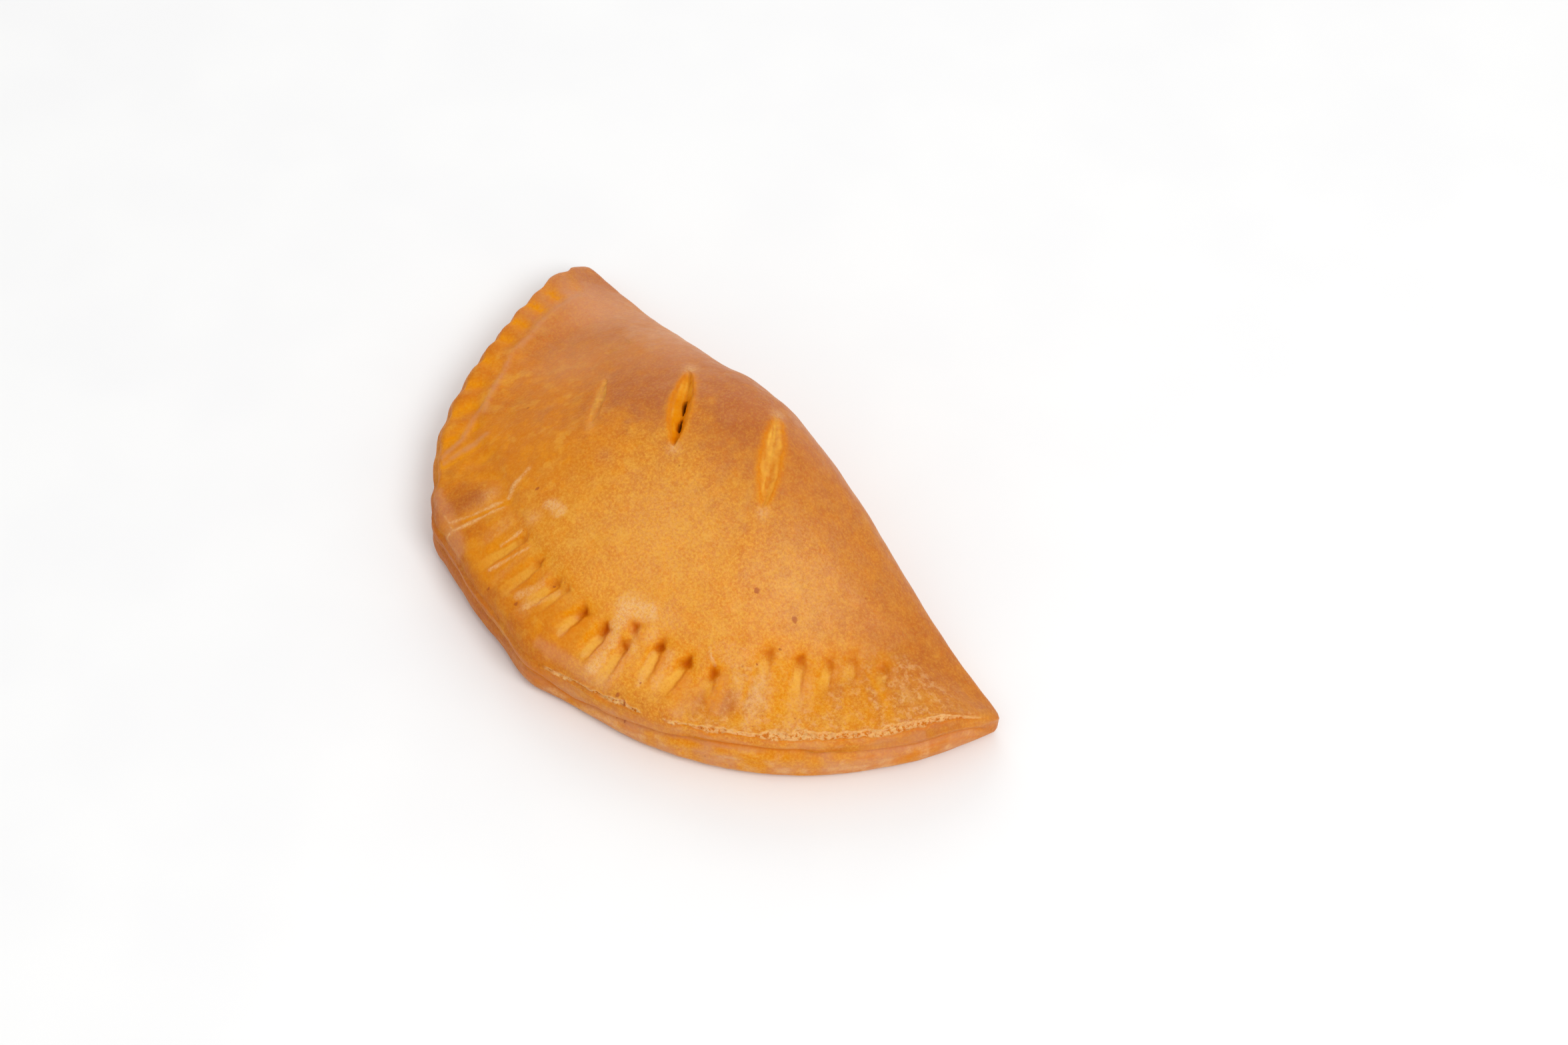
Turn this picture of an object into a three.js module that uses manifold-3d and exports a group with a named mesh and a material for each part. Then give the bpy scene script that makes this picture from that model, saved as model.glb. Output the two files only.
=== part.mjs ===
// A savoury pastry pocket: a disc of dough folded over its filling into a half moon, pressed shut with a
// fork round the open edge, slit three times on top and baked whole. It is one closed solid.
// Millimetres, +Z up. The fold runs along X at the back (+Y) and the crimped rim bows towards -Y.
// The origin is the middle of the bounding box, on the flat underside.

import * as THREE from 'three';
import { mergeVertices } from 'three/addons/utils/BufferGeometryUtils.js';
import Module from 'manifold-3d';

// Driving dimensions of the half moon in plan.
const RIM_HALF_SPAN = 79.2;
const RIM_REACH = 74.7;
const RIM_CENTRE_Y = 6;
const FOLD_Y = 7.25;
const FOLD_BULGE = { out: 3.4, leftWidth: 13.3, rightWidth: 42 };
const TIP_SHARPNESS = 16;
const LOPSIDED = [
  { order: 3, along: 0.005, across: 0.0095 },
  { order: 4, along: 0, across: -0.015 },
  { order: 5, along: 0, across: 0.0105 },
];

// Places where the rim bows out or in: direction from the middle and half width in degrees, and how far.
const RIM_LOBES = [
  { direction: 245.8, halfWidth: 4.9, out: 0.94 },
  { direction: 256.6, halfWidth: 6.3, out: -0.68 },
  { direction: 280.4, halfWidth: 6.05, out: 2.1 },
];

// Driving dimensions of the raised form.
const CREST_HEIGHT = 37.4;
const TIP_HEIGHT = 6;
const RIM_HEIGHT = 14;
const CREST_FALL = 1.9;
const SPINE_Y = -8;
const SPINE_SHARE = 0.5;
const RIM_SLOPE = 1.6;
const FOLD_ROUNDNESS = 2.9;
const FOLD_WIDEST_SHARE = 0.435;
const FOLD_UNDERCUT_SHARE = 0.2;
const FOLD_BLEND = { from: -8, to: 14 };
const LIP_RADIUS = 2.8;
const LIP_RUN = 2.6;
const FOOT_RADIUS = 3.5;
const FOOT_SHARE = 0.36;
const SPINE_STEP = 5;

// Fork marks: straight tine grooves that run in from the edge and end in a deeper dimple. A fork of four
// tines was pressed down seven times, here with its first tine and its pitch as shares of the rim.
const FORK_TINES = 4;
const FORK_PRESSES = [
  { first: 0.04, pitch: 0.0295 },
  { first: 0.163, pitch: 0.0343 },
  { first: 0.299, pitch: 0.036 },
  { first: 0.43, pitch: 0.0333 },
  { first: 0.576, pitch: 0.0293 },
  { first: 0.697, pitch: 0.0295 },
  { first: 0.824, pitch: 0.0423 },
];
const TINE_HALF_WIDTH = 1.25;
const TINE_DEPTH = 0.6;
const DIMPLE_DEPTH = 1.2;
const DIMPLE_LENGTH = 1.6;
const PRESS_DEPTH = 0.7;
const PRESS_EDGE = 2.5;
const SCALLOP_DEPTH = 0.5;
const SCALLOP_RUN = 5;
const SCALLOP_END = { from: 0.25, to: 0.45, left: 0.3 };
const REACH_WANDER = 0.4;
const FORK_REACH = [
  { share: 0, value: 9 },
  { share: 0.16, value: 4 },
  { share: 0.27, value: 8.6 },
  { share: 0.37, value: 15 },
  { share: 0.46, value: 12.8 },
  { share: 0.55, value: 12.5 },
  { share: 0.62, value: 10.3 },
  { share: 0.67, value: 13.6 },
  { share: 0.73, value: 13.4 },
  { share: 0.78, value: 20.5 },
  { share: 0.91, value: 20.5 },
  { share: 1, value: 14 },
];

// The seam between the two layers of dough, by share of the way along the rim. Left of the middle the upper
// layer hangs down over it.
const SEAM_HEIGHT = [
  { share: 0, value: 7 },
  { share: 0.54, value: 8.5 },
  { share: 0.595, value: 4.6 },
  { share: 0.64, value: 6.4 },
  { share: 0.75, value: 9.6 },
  { share: 0.84, value: 9.6 },
  { share: 0.95, value: 8.2 },
  { share: 1, value: 8.2 },
];
const SEAM_DEPTH = [
  { share: 0, value: 0.7 },
  { share: 0.5, value: 0.9 },
  { share: 0.585, value: 0.5 },
  { share: 0.7, value: 1.5 },
  { share: 1, value: 1.4 },
];
const SEAM_HALF_WIDTH = 0.9;
const SEAM_FOLD_SHARE = 0.6;

// Steam slits cut across the crest: middle in plan, length, width and depth. All point the same way.
const SLIT_TURN = THREE.MathUtils.degToRad(-43);
const SLITS = [
  { x: -25.4, y: -25, length: 17, width: 2.6, depth: 1.1 },
  { x: -9.2, y: -14, length: 23, width: 5.6, depth: 4.2 },
  { x: 14.1, y: -6.8, length: 24, width: 5, depth: 2.6 },
];

// Shallow swells of the filling under the dough.
const SWELLS = [
  { height: 0.35, x: 0.09, y: 0.11, phase: 1.3 },
  { height: 0.25, x: 0.16, y: -0.14, phase: 0.4 },
];

// Mesh resolution.
const OUTLINE_STEPS = 4000;
const COLUMNS_PER_TINE = 5;
const FOLD_COLUMNS = 57;
const LIP_ROWS = 3;
const LIP_SHARE = 0.055;
const FLANGE_ROWS = 10;
const FLANGE_SHARE = 0.38;
const BELLY_ROWS = 7;
const BELLY_SHARE = 0.93;
const FOLD_BUNCHING = 0.6;
const FOOT_ROWS = [0, 0.03, 0.1, 0.24];
const SEAM_ROWS = [-1.1, 0, 1.1];
const BASE_SHARES = [0.35, 0.8];
const SLIT_SEGMENTS = 20;

const clamp = THREE.MathUtils.clamp;
const mix = THREE.MathUtils.lerp;
const smooth = THREE.MathUtils.smoothstep;

function hump(distance, halfWidth) {
  return Math.exp(-((distance / halfWidth) ** 2));
}

// A repeatable number from -1 to 1 for each seed.
function wander(seed) {
  const value = Math.sin(seed * 127.1 + 11.7) * 43758.5453;
  return 2 * (value - Math.floor(value)) - 1;
}

// The widest outline in plan: an ellipse cut off by the bulging fold line, with pinched round tips.
function outlinePoint(angle) {
  const c = Math.cos(angle);
  const s = Math.sin(angle);
  const a = (c / RIM_HALF_SPAN) ** 2 + (s / RIM_REACH) ** 2;
  const b = (-2 * s * RIM_CENTRE_Y) / RIM_REACH ** 2;
  const k = (RIM_CENTRE_Y / RIM_REACH) ** 2 - 1;
  const rim = (-b + Math.sqrt(b * b - 4 * a * k)) / (2 * a);
  const foldX = (FOLD_Y * c) / Math.max(s, 1e-3);
  const bulgeWidth = foldX < 0 ? FOLD_BULGE.leftWidth : FOLD_BULGE.rightWidth;
  const foldY = FOLD_Y + FOLD_BULGE.out * hump(foldX, bulgeWidth);
  const perFold = Math.max(s, 1e-9) / foldY;
  const even = (rim ** -TIP_SHARPNESS + perFold ** TIP_SHARPNESS) ** (-1 / TIP_SHARPNESS);
  let uneven = 1;
  for (const { order, along, across } of LOPSIDED) {
    uneven += along * Math.cos(order * angle) + across * Math.sin(order * angle);
  }
  const direction = THREE.MathUtils.euclideanModulo(THREE.MathUtils.radToDeg(angle), 360);
  for (const lobe of RIM_LOBES) {
    uneven += (lobe.out / even) * hump(direction - lobe.direction, lobe.halfWidth);
  }
  return new THREE.Vector2(even * uneven * c, even * uneven * s);
}

// The outline walked once round from the left tip, along the rim, with the distance at each step.
function walkOutline() {
  const points = [];
  let distance = 0;
  for (let step = 0; step <= OUTLINE_STEPS; step += 1) {
    const point = outlinePoint(Math.PI + (2 * Math.PI * step) / OUTLINE_STEPS);
    distance += step ? point.distanceTo(points[step - 1].point) : 0;
    points.push({ point, distance });
  }
  return points;
}

const WALK = walkOutline();
const RIM_LENGTH = WALK[OUTLINE_STEPS / 2].distance;
const ROUND_LENGTH = WALK[OUTLINE_STEPS].distance;
const LEFT_X = Math.min(...WALK.map(({ point }) => point.x));
const RIGHT_X = Math.max(...WALK.map(({ point }) => point.x));

function pointAlong(distance) {
  const target = distance % ROUND_LENGTH;
  const next = Math.max(1, WALK.findIndex((step) => step.distance >= target));
  const before = WALK[next - 1];
  const after = WALK[next];
  const share = (target - before.distance) / (after.distance - before.distance);
  return before.point.clone().lerp(after.point, share);
}

// Height of the crest that runs from tip to tip over the filling.
function crestHeight(x) {
  const share = x < 0 ? x / LEFT_X : x / RIGHT_X;
  return TIP_HEIGHT + (CREST_HEIGHT - TIP_HEIGHT) * Math.max(1 - share * share, 0) ** CREST_FALL;
}

// The value between two stops of a list, at a share of the way along the rim.
function between(stops, rimShare) {
  const share = clamp(rimShare, 0, 1);
  const next = Math.max(1, stops.findIndex((stop) => stop.share >= share));
  const before = stops[next - 1];
  const after = stops[next];
  return mix(before.value, after.value, smooth(share, before.share, after.share));
}

function makeTines() {
  const tines = [];
  for (const press of FORK_PRESSES) {
    for (let tine = 0; tine < FORK_TINES; tine += 1) {
      const rimShare = press.first + tine * press.pitch;
      const reach = between(FORK_REACH, rimShare) + REACH_WANDER * wander(tines.length);
      const strength = 0.8 + 0.2 * wander(tines.length + 90);
      tines.push({ along: rimShare * RIM_LENGTH, reach, strength });
    }
  }
  return tines;
}

const TINES = makeTines();

// Everything about the line from the spine of the crest out to one point of the outline.
function makeColumn(along) {
  const edge = pointAlong(along);
  const spine = new THREE.Vector2(SPINE_SHARE * edge.x, SPINE_Y);
  const crest = crestHeight(edge.x);
  const fold = smooth(edge.y, FOLD_BLEND.from, FOLD_BLEND.to);
  const foldWidest = FOLD_WIDEST_SHARE * crest;
  const rimShare = along / RIM_LENGTH;
  return {
    along: along % ROUND_LENGTH,
    edge,
    spine,
    inward: spine.clone().sub(edge).normalize(),
    reach: edge.distanceTo(spine),
    fold,
    foldWidest,
    foldUndercut: FOLD_UNDERCUT_SHARE * crest,
    widest: mix(RIM_HEIGHT - LIP_RADIUS, foldWidest, fold),
    seamHeight: mix(between(SEAM_HEIGHT, rimShare), SEAM_FOLD_SHARE * foldWidest, fold),
    seamDepth: between(SEAM_DEPTH, rimShare) * (1 - fold),
    forkReach: between(FORK_REACH, rimShare),
    scallop: mix(1, SCALLOP_END.left, smooth(rimShare, SCALLOP_END.from, SCALLOP_END.to)),
  };
}

// Columns stand on the tines, with some between them. Along the fold they are closest near the tips.
function makeColumns() {
  const columns = [];
  for (let index = 0; index + 1 < TINES.length; index += 1) {
    for (let step = 0; step < COLUMNS_PER_TINE; step += 1) {
      columns.push(makeColumn(mix(TINES[index].along, TINES[index + 1].along, step / COLUMNS_PER_TINE)));
    }
  }
  const lastTine = TINES[TINES.length - 1].along;
  const foldRun = TINES[0].along + ROUND_LENGTH - lastTine;
  for (let step = 0; step < FOLD_COLUMNS; step += 1) {
    const turn = (2 * Math.PI * step) / FOLD_COLUMNS;
    const share = (turn - FOLD_BUNCHING * Math.sin(turn)) / (2 * Math.PI);
    columns.push(makeColumn(lastTine + foldRun * share));
  }
  return columns;
}

// How deep the fork pressed the dough, in from the edge: a shallow step all along with tine marks in it.
function forkDepth(column, inFromEdge) {
  let depth = PRESS_DEPTH * smooth(column.forkReach + PRESS_EDGE - inFromEdge, 0, PRESS_EDGE);
  for (const tine of TINES) {
    const across = hump(column.along - tine.along, TINE_HALF_WIDTH) * tine.strength;
    const groove = TINE_DEPTH * smooth(tine.reach + 1 - inFromEdge, 0, 2);
    const dimple = DIMPLE_DEPTH * hump(inFromEdge - tine.reach + 1, DIMPLE_LENGTH);
    depth += across * (groove + dimple);
  }
  return depth * (1 - column.fold);
}

// How far the edge draws in at each tine, most of all along the left part of the rim.
function scallop(column, inFromEdge) {
  const across = TINES.reduce((sum, tine) => sum + hump(column.along - tine.along, 2 * TINE_HALF_WIDTH), 0);
  const fade = smooth(SCALLOP_RUN - inFromEdge, 0, SCALLOP_RUN);
  return SCALLOP_DEPTH * across * column.scallop * fade * (1 - column.fold);
}

function swell(x, y) {
  const heights = SWELLS.map((wave) => wave.height * Math.sin(x * wave.x + y * wave.y + wave.phase));
  return heights.reduce((sum, height) => sum + height, 0);
}

// A point of the upper surface: share 1 is the widest outline and 0 the spine.
function topPoint(column, share) {
  const inFromEdge = (1 - share) * column.reach;
  const plan = column.spine.clone().lerp(column.edge, share);
  const crest = crestHeight(plan.x);
  const lip = Math.sqrt(1 - clamp(1 - inFromEdge / LIP_RUN, 0, 1) ** 2);
  const rimBody = Math.max(crest - RIM_HEIGHT, 0) * (1 - share ** RIM_SLOPE);
  const rimSide = RIM_HEIGHT - LIP_RADIUS + LIP_RADIUS * lip + rimBody;
  const foldRise = Math.sqrt(Math.max(1 - share ** FOLD_ROUNDNESS, 0));
  const foldSide = mix(column.foldWidest, crest, foldRise);
  const relief = swell(plan.x, plan.y) * smooth(inFromEdge, 4, 18) - forkDepth(column, inFromEdge) * lip;
  plan.addScaledVector(column.inward, scallop(column, inFromEdge));
  return new THREE.Vector3(plan.x, plan.y, mix(rimSide, foldSide, column.fold) + relief);
}

// A point of the side, between the underside and the widest outline.
function sidePoint(column, height) {
  const share = height / column.widest;
  const footTurn = clamp(1 - share / FOOT_SHARE, 0, 1);
  const rimInset = FOOT_RADIUS * (1 - Math.sqrt(1 - footTurn ** 2));
  const foldInset = column.foldUndercut * (1 - Math.sqrt(1 - (1 - share) ** 2));
  const seam = column.seamDepth * hump(height - column.seamHeight, SEAM_HALF_WIDTH);
  const inset = mix(rimInset, foldInset, column.fold) + seam + scallop(column, 0) * share;
  const plan = column.edge.clone().addScaledVector(column.inward, inset);
  return new THREE.Vector3(plan.x, plan.y, height);
}

// A point of the flat underside.
function basePoint(column, share) {
  const edge = sidePoint(column, 0);
  return new THREE.Vector3(
    mix(column.spine.x, edge.x, share),
    mix(column.spine.y, edge.y, share),
    0,
  );
}

class Skin {
  constructor() {
    this.positions = [];
    this.faces = [];
  }

  addPoint(point) {
    this.positions.push(point.x, point.y, point.z);
    return this.positions.length / 3 - 1;
  }

  // A ring of points, with every column, every second one or every fourth one.
  addRing(columns, skip, place) {
    const ring = columns.filter((column, index) => index % skip === 0);
    return ring.map((column) => this.addPoint(place(column)));
  }

  // Joins a lower or outer ring to the next one, which may have twice or half as many points.
  join(first, second) {
    const fine = first.length > second.length ? first : second;
    const ratio = first.length / second.length;
    for (let index = 0; index < Math.min(first.length, second.length); index += 1) {
      const after = (index + 1) % Math.min(first.length, second.length);
      if (ratio === 1) {
        this.faces.push(first[index], first[after], second[after]);
        this.faces.push(first[index], second[after], second[index]);
      } else {
        const middle = fine[2 * index + 1];
        const end = fine[(2 * index + 2) % fine.length];
        const start = fine[2 * index];
        if (ratio > 1) {
          this.faces.push(start, middle, second[index]);
          this.faces.push(middle, second[after], second[index]);
          this.faces.push(middle, end, second[after]);
        } else {
          this.faces.push(first[index], middle, start);
          this.faces.push(first[index], first[after], middle);
          this.faces.push(first[after], end, middle);
        }
      }
    }
  }

  // Closes a ring on a row of spine points: on top with the ring below them, or underneath.
  close(ring, columns, skip, height, onTop) {
    const reach = SPINE_SHARE * RIGHT_X;
    const back = SPINE_SHARE * LEFT_X;
    const steps = Math.round((reach - back) / SPINE_STEP);
    const row = [];
    for (let step = 0; step <= steps; step += 1) {
      const x = mix(back, reach, step / steps);
      row.push(this.addPoint(new THREE.Vector3(x, SPINE_Y, height(x))));
    }
    const nearest = ring.map((vertex, index) => {
      const share = (columns[index * skip].spine.x - back) / (reach - back);
      return Math.round(share * steps);
    });
    const addFace = (a, b, c) => this.faces.push(...(onTop ? [a, b, c] : [b, a, c]));
    ring.forEach((vertex, index) => {
      const after = (index + 1) % ring.length;
      const target = nearest[after];
      let current = nearest[index];
      while (current !== target) {
        const next = current + Math.sign(target - current);
        addFace(vertex, row[next], row[current]);
        current = next;
      }
      addFace(vertex, ring[after], row[target]);
    });
  }

  geometry() {
    const geometry = new THREE.BufferGeometry();
    geometry.setAttribute('position', new THREE.Float32BufferAttribute(this.positions, 3));
    geometry.setIndex(this.faces);
    return geometry;
  }
}

// The shares of the way from the edge (1) to the spine (0) at which the top has its rings.
function topShares() {
  const fine = [];
  for (let row = 0; row <= LIP_ROWS; row += 1) {
    fine.push(1 - LIP_SHARE * (row / LIP_ROWS) ** 2);
  }
  for (let row = 1; row <= FLANGE_ROWS; row += 1) {
    fine.push(1 - mix(LIP_SHARE, FLANGE_SHARE, row / FLANGE_ROWS));
  }
  const coarse = [];
  for (let row = 1; row <= BELLY_ROWS; row += 1) {
    coarse.push(1 - mix(FLANGE_SHARE, BELLY_SHARE, row / BELLY_ROWS));
  }
  return { fine, coarse };
}

function makeBody() {
  const columns = makeColumns();
  const skin = new Skin();
  const { fine, coarse } = topShares();
  const addSide = (heightOf) => skin.addRing(columns, 1, (column) => sidePoint(column, heightOf(column)));
  const addTop = (share, skip) => skin.addRing(columns, skip, (column) => topPoint(column, share));
  const rings = [
    skin.addRing(columns, 4, (column) => basePoint(column, BASE_SHARES[0])),
    skin.addRing(columns, 2, (column) => basePoint(column, BASE_SHARES[1])),
    ...FOOT_ROWS.map((row) => addSide((column) => row * column.widest)),
    ...SEAM_ROWS.map((row) => addSide((column) => column.seamHeight + row)),
    ...fine.map((share) => addTop(share, 1)),
    ...coarse.map((share) => addTop(share, 2)),
  ];
  for (let index = 0; index + 1 < rings.length; index += 1) {
    skin.join(rings[index], rings[index + 1]);
  }
  skin.close(rings[0], columns, 4, () => 0, false);
  skin.close(rings[rings.length - 1], columns, 2, (x) => crestHeight(x) + swell(x, SPINE_Y), true);
  return skin.geometry();
}

// A boat with pointed ends, level on top of the crest, that cuts one steam slit.
function makeSlitCutter(slit, body) {
  const boat = new THREE.SphereGeometry(1, SLIT_SEGMENTS, SLIT_SEGMENTS / 2);
  boat.deleteAttribute('normal');
  boat.deleteAttribute('uv');
  const cutter = mergeVertices(boat);
  const position = cutter.getAttribute('position');
  for (let index = 0; index < position.count; index += 1) {
    const x = position.getX(index);
    const pinch = Math.sqrt(Math.max(1 - x * x, 0));
    position.setY(index, position.getY(index) * pinch);
  }
  cutter.scale(slit.length / 2, slit.width / 2, slit.depth);
  cutter.rotateZ(SLIT_TURN);
  const down = new THREE.Vector3(0, 0, -1);
  const ray = new THREE.Raycaster(new THREE.Vector3(slit.x, slit.y, 2 * CREST_HEIGHT), down);
  const [hit] = ray.intersectObject(new THREE.Mesh(body));
  cutter.translate(slit.x, slit.y, hit.point.z);
  return cutter;
}

function toSolid(wasm, geometry) {
  const mesh = new wasm.Mesh({
    numProp: 3,
    vertProperties: new Float32Array(geometry.getAttribute('position').array),
    triVerts: new Uint32Array(geometry.getIndex().array),
  });
  return new wasm.Manifold(mesh);
}

function toGeometry(solid) {
  const mesh = solid.getMesh();
  const geometry = new THREE.BufferGeometry();
  geometry.setAttribute('position', new THREE.BufferAttribute(mesh.vertProperties, 3));
  geometry.setIndex(new THREE.BufferAttribute(mesh.triVerts, 1));
  return geometry;
}

async function makePocketGeometry() {
  const wasm = await Module();
  wasm.setup();
  const body = makeBody();
  let solid = toSolid(wasm, body);
  for (const slit of SLITS) {
    solid = solid.subtract(toSolid(wasm, makeSlitCutter(slit, body)));
  }
  const geometry = toGeometry(solid);
  geometry.computeBoundingBox();
  const middle = geometry.boundingBox.getCenter(new THREE.Vector3());
  geometry.translate(-middle.x, -middle.y, -geometry.boundingBox.min.z);
  geometry.computeVertexNormals();
  return geometry;
}

const crust = new THREE.MeshStandardMaterial({ color: 0xd98a3a, roughness: 0.45, metalness: 0 });
const pocket = new THREE.Mesh(await makePocketGeometry(), crust);
pocket.name = 'pastry_pocket';

const group = new THREE.Group();
group.add(pocket);

export default group;
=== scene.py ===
# The looks of a baked savoury pastry pocket, built round its imported solid: a fine skin with the fork marks,
# the seam, the torn edge and the steam slits modelled in it, and an uneven egg-washed crust with painted
# sheen and shade.
# Shapes are worked out in millimetres, fold along X and rim towards -Y, and set on the imported solid's box.
# Places on the rim are a share of the way along it from the left tip, and a distance in from its edge.

import math

import bmesh
import bpy
import numpy as np
from mathutils import Matrix, Vector


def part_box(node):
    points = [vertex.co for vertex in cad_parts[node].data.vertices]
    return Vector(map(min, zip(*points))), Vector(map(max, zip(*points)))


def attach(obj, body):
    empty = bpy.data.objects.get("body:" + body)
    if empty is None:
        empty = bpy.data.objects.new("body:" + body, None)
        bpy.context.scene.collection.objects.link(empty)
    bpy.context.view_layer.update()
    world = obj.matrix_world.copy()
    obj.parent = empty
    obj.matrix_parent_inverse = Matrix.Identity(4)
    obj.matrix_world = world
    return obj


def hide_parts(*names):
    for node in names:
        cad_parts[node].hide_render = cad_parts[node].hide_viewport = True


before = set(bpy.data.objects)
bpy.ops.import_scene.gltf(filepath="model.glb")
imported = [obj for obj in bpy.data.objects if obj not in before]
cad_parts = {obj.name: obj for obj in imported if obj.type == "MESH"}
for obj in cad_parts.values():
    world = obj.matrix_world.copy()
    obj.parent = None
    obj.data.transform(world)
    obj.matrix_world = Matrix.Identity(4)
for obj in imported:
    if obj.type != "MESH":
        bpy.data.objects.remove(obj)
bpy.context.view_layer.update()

NODE = "pastry_pocket"
BODY = "root"
MM = 0.001

# The half moon in plan.
RIM_HALF_SPAN = 79.2
RIM_REACH = 74.7
RIM_CENTRE_Y = 6
FOLD_Y = 7.25
FOLD_BULGE_OUT = 3.4
FOLD_BULGE_WIDTHS = (13.3, 42)
TIP_SHARPNESS = 16
LOPSIDED = ((3, 0.005, 0.0095), (4, 0, -0.015), (5, 0, 0.0105))
RIM_LOBES = ((245.8, 4.9, 0.94), (256.6, 6.3, -0.68), (280.4, 6.05, 2.1))

# The raised form.
CREST_HEIGHT = 37.4
TIP_HEIGHT = 6
RIM_HEIGHT = 14
CREST_FALL = 1.9
SPINE_Y = -8
SPINE_SHARE = 0.5
RIM_SLOPE = 1.6
FOLD_ROUNDNESS = 2.9
FOLD_WIDEST_SHARE = 0.435
FOLD_UNDERCUT_SHARE = 0.2
FOLD_BLEND = (-8, 14)
LIP_RADIUS = 2.8
LIP_RUN = 2.6
FOOT_RADIUS = 3.5
FOOT_SHARE = 0.36
SWELLS = ((0.35, 0.09, 0.11, 1.3), (0.25, 0.16, -0.14, 0.4))

# Lumps of the crust: height, size and the seed of their noise.
LUMPS = ((0.14, 7, 21), (0.07, 3, 22), (0.035, 1.2, 23))

# The pressed rim: how far in from the edge it reaches, and how deep. No mark reaches further in than the
# flange, and all fade out past the right tip.
PRESS_REACH = ((0, 9), (0.16, 4), (0.27, 8.6), (0.37, 15), (0.46, 12.8), (0.55, 12.5), (0.62, 10.3),
               (0.67, 13.6), (0.73, 13.4), (0.78, 20.5), (0.91, 20.5), (1, 14))
PRESS_DEPTH = 0.6
PRESS_EDGE = 3.5
FLANGE_REACH = 30
RIM_END = (0.998, 1.015)

# Sharp fork marks: rim share and distance in of the inner and the outer end, depth of the pit at the inner
# end, depth of the trough, and how sharp its far wall is and how darkly it is painted, as deeper orange dough
# and painted shade.
FORK_MARKS = (
    ((0.462, 12.9), (0.449, 1.0), 0.35, 0.50, 0.4),
    ((0.497, 12.1), (0.491, 3.3), 0.55, 0.40, 0.3),
    ((0.530, 12.5), (0.519, 4.4), 0.55, 0.50, 0.4),
    ((0.544, 13.4), (0.532, 6.4), 0.30, 0.40, 0.5),
    ((0.576, 11.9), (0.566, 5.2), 1.15, 0.75, 0.8),
    ((0.6055, 10.8), (0.602, 2.5), 1.30, 0.85, 1.0),
    ((0.631, 10.2), (0.633, 0.6), 0.85, 0.60, 0.9),
    ((0.630, 14.1), (0.632, 11.6), 0.95, 0.20, 0.7),
    ((0.664, 13.7), (0.667, 5.0), 1.45, 0.70, 1.0),
    ((0.697, 13.2), (0.688, 4.6), 1.35, 0.75, 0.7),
    ((0.7295, 13.3), (0.7256, 7.9), 1.00, 0.30, 0.3),
    ((0.780, 20.3), (0.776, 15.6), 0.60, 0.35, 0.3),
    ((0.824, 20.0), (0.821, 10.3), 0.70, 0.55, 0.6),
    ((0.869, 20.2), (0.853, 13.0), 0.50, 0.50, 0.6),
    ((0.910, 20.4), (0.888, 15.7), 0.35, 0.35, 0.6),
    ((0.951, 18.5), (0.927, 12.8), 0.45, 0.30, 0.3),
)
MARK_HALF_WIDTH = 1.3
PIT_RADIUS = 1.05
HALO_RADIUS = 2.6

# Soft hollows of the fork on the other half of the rim: both ends, half width and depth.
SOFT_MARKS = (
    ((0.003, 8.9), (0.003, 6.5), 1.7, 0.30),
    ((0.040, 7.1), (0.042, 4.7), 1.7, 0.45),
    ((0.067, 5.8), (0.070, 3.2), 1.7, 0.50),
    ((0.099, 5.1), (0.100, 2.6), 1.6, 0.50),
    ((0.127, 4.8), (0.127, 2.3), 1.6, 0.50),
    ((0.163, 3.3), (0.159, 0.7), 1.7, 0.50),
    ((0.196, 4.6), (0.199, 2.0), 1.8, 0.55),
    ((0.231, 5.9), (0.239, 2.8), 2.0, 0.60),
    ((0.266, 8.6), (0.282, 2.9), 2.2, 0.60),
    ((0.299, 10.2), (0.309, 3.0), 2.3, 0.55),
    ((0.324, 14.5), (0.327, 10.6), 1.5, 0.35),
    ((0.331, 12.1), (0.322, 8.7), 1.6, 0.30),
    ((0.368, 15.7), (0.352, 11.3), 1.5, 0.30),
    ((0.407, 13.9), (0.395, 5.9), 1.8, 0.40),
    ((0.734, 22.1), (0.735, 21.6), 1.6, 0.15),
)
GROOVE_REACH = 20
SCALLOP_DEPTH = 0.5
SCALLOP_RUN = 5
SCALLOP_END = (0.25, 0.45, 0.3)

# Fine raised creases: half width, height, and their corners as rim share and distance in. Their mauve colour
# is partly a browner crust and partly painted sheen.
CREASES = (
    (0.8, 0.20, ((0.013, 12), (0.048, 9.4), (0.081, 8.4), (0.113, 8.6), (0.145, 7.7), (0.18, 8.8),
                 (0.216, 8.9), (0.245, 9.5))),
    (0.7, 0.20, ((0.228, 9.2), (0.255, 7.5), (0.281, 6.2), (0.300, 2.2))),
    (0.7, 0.15, ((0.290, 12.4), (0.300, 7.0), (0.307, 3.0))),
)
WRINKLES = (
    (0.45, 0.22, ((0.387, 21.8), (0.392, 19.3), (0.3965, 17), (0.4035, 14.7))),
    (0.45, 0.14, ((0.402, 13.4), (0.399, 11.2), (0.394, 6.5), (0.389, 2.8))),
    (0.40, 0.14, ((0.410, 13), (0.407, 11.6), (0.402, 6.3), (0.3975, 0.8))),
    (0.30, 0.10, ((0.377, 2.3), (0.385, 2.6), (0.396, 1.8))),
    (0.30, 0.12, ((0.4515, 13.2), (0.4505, 11), (0.449, 8.2))),
    (0.30, 0.08, ((0.475, 12.3), (0.468, 8), (0.463, 4))),
    (0.30, 0.10, ((0.712, 17.5), (0.718, 15.8), (0.726, 14.6))),
)
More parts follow.
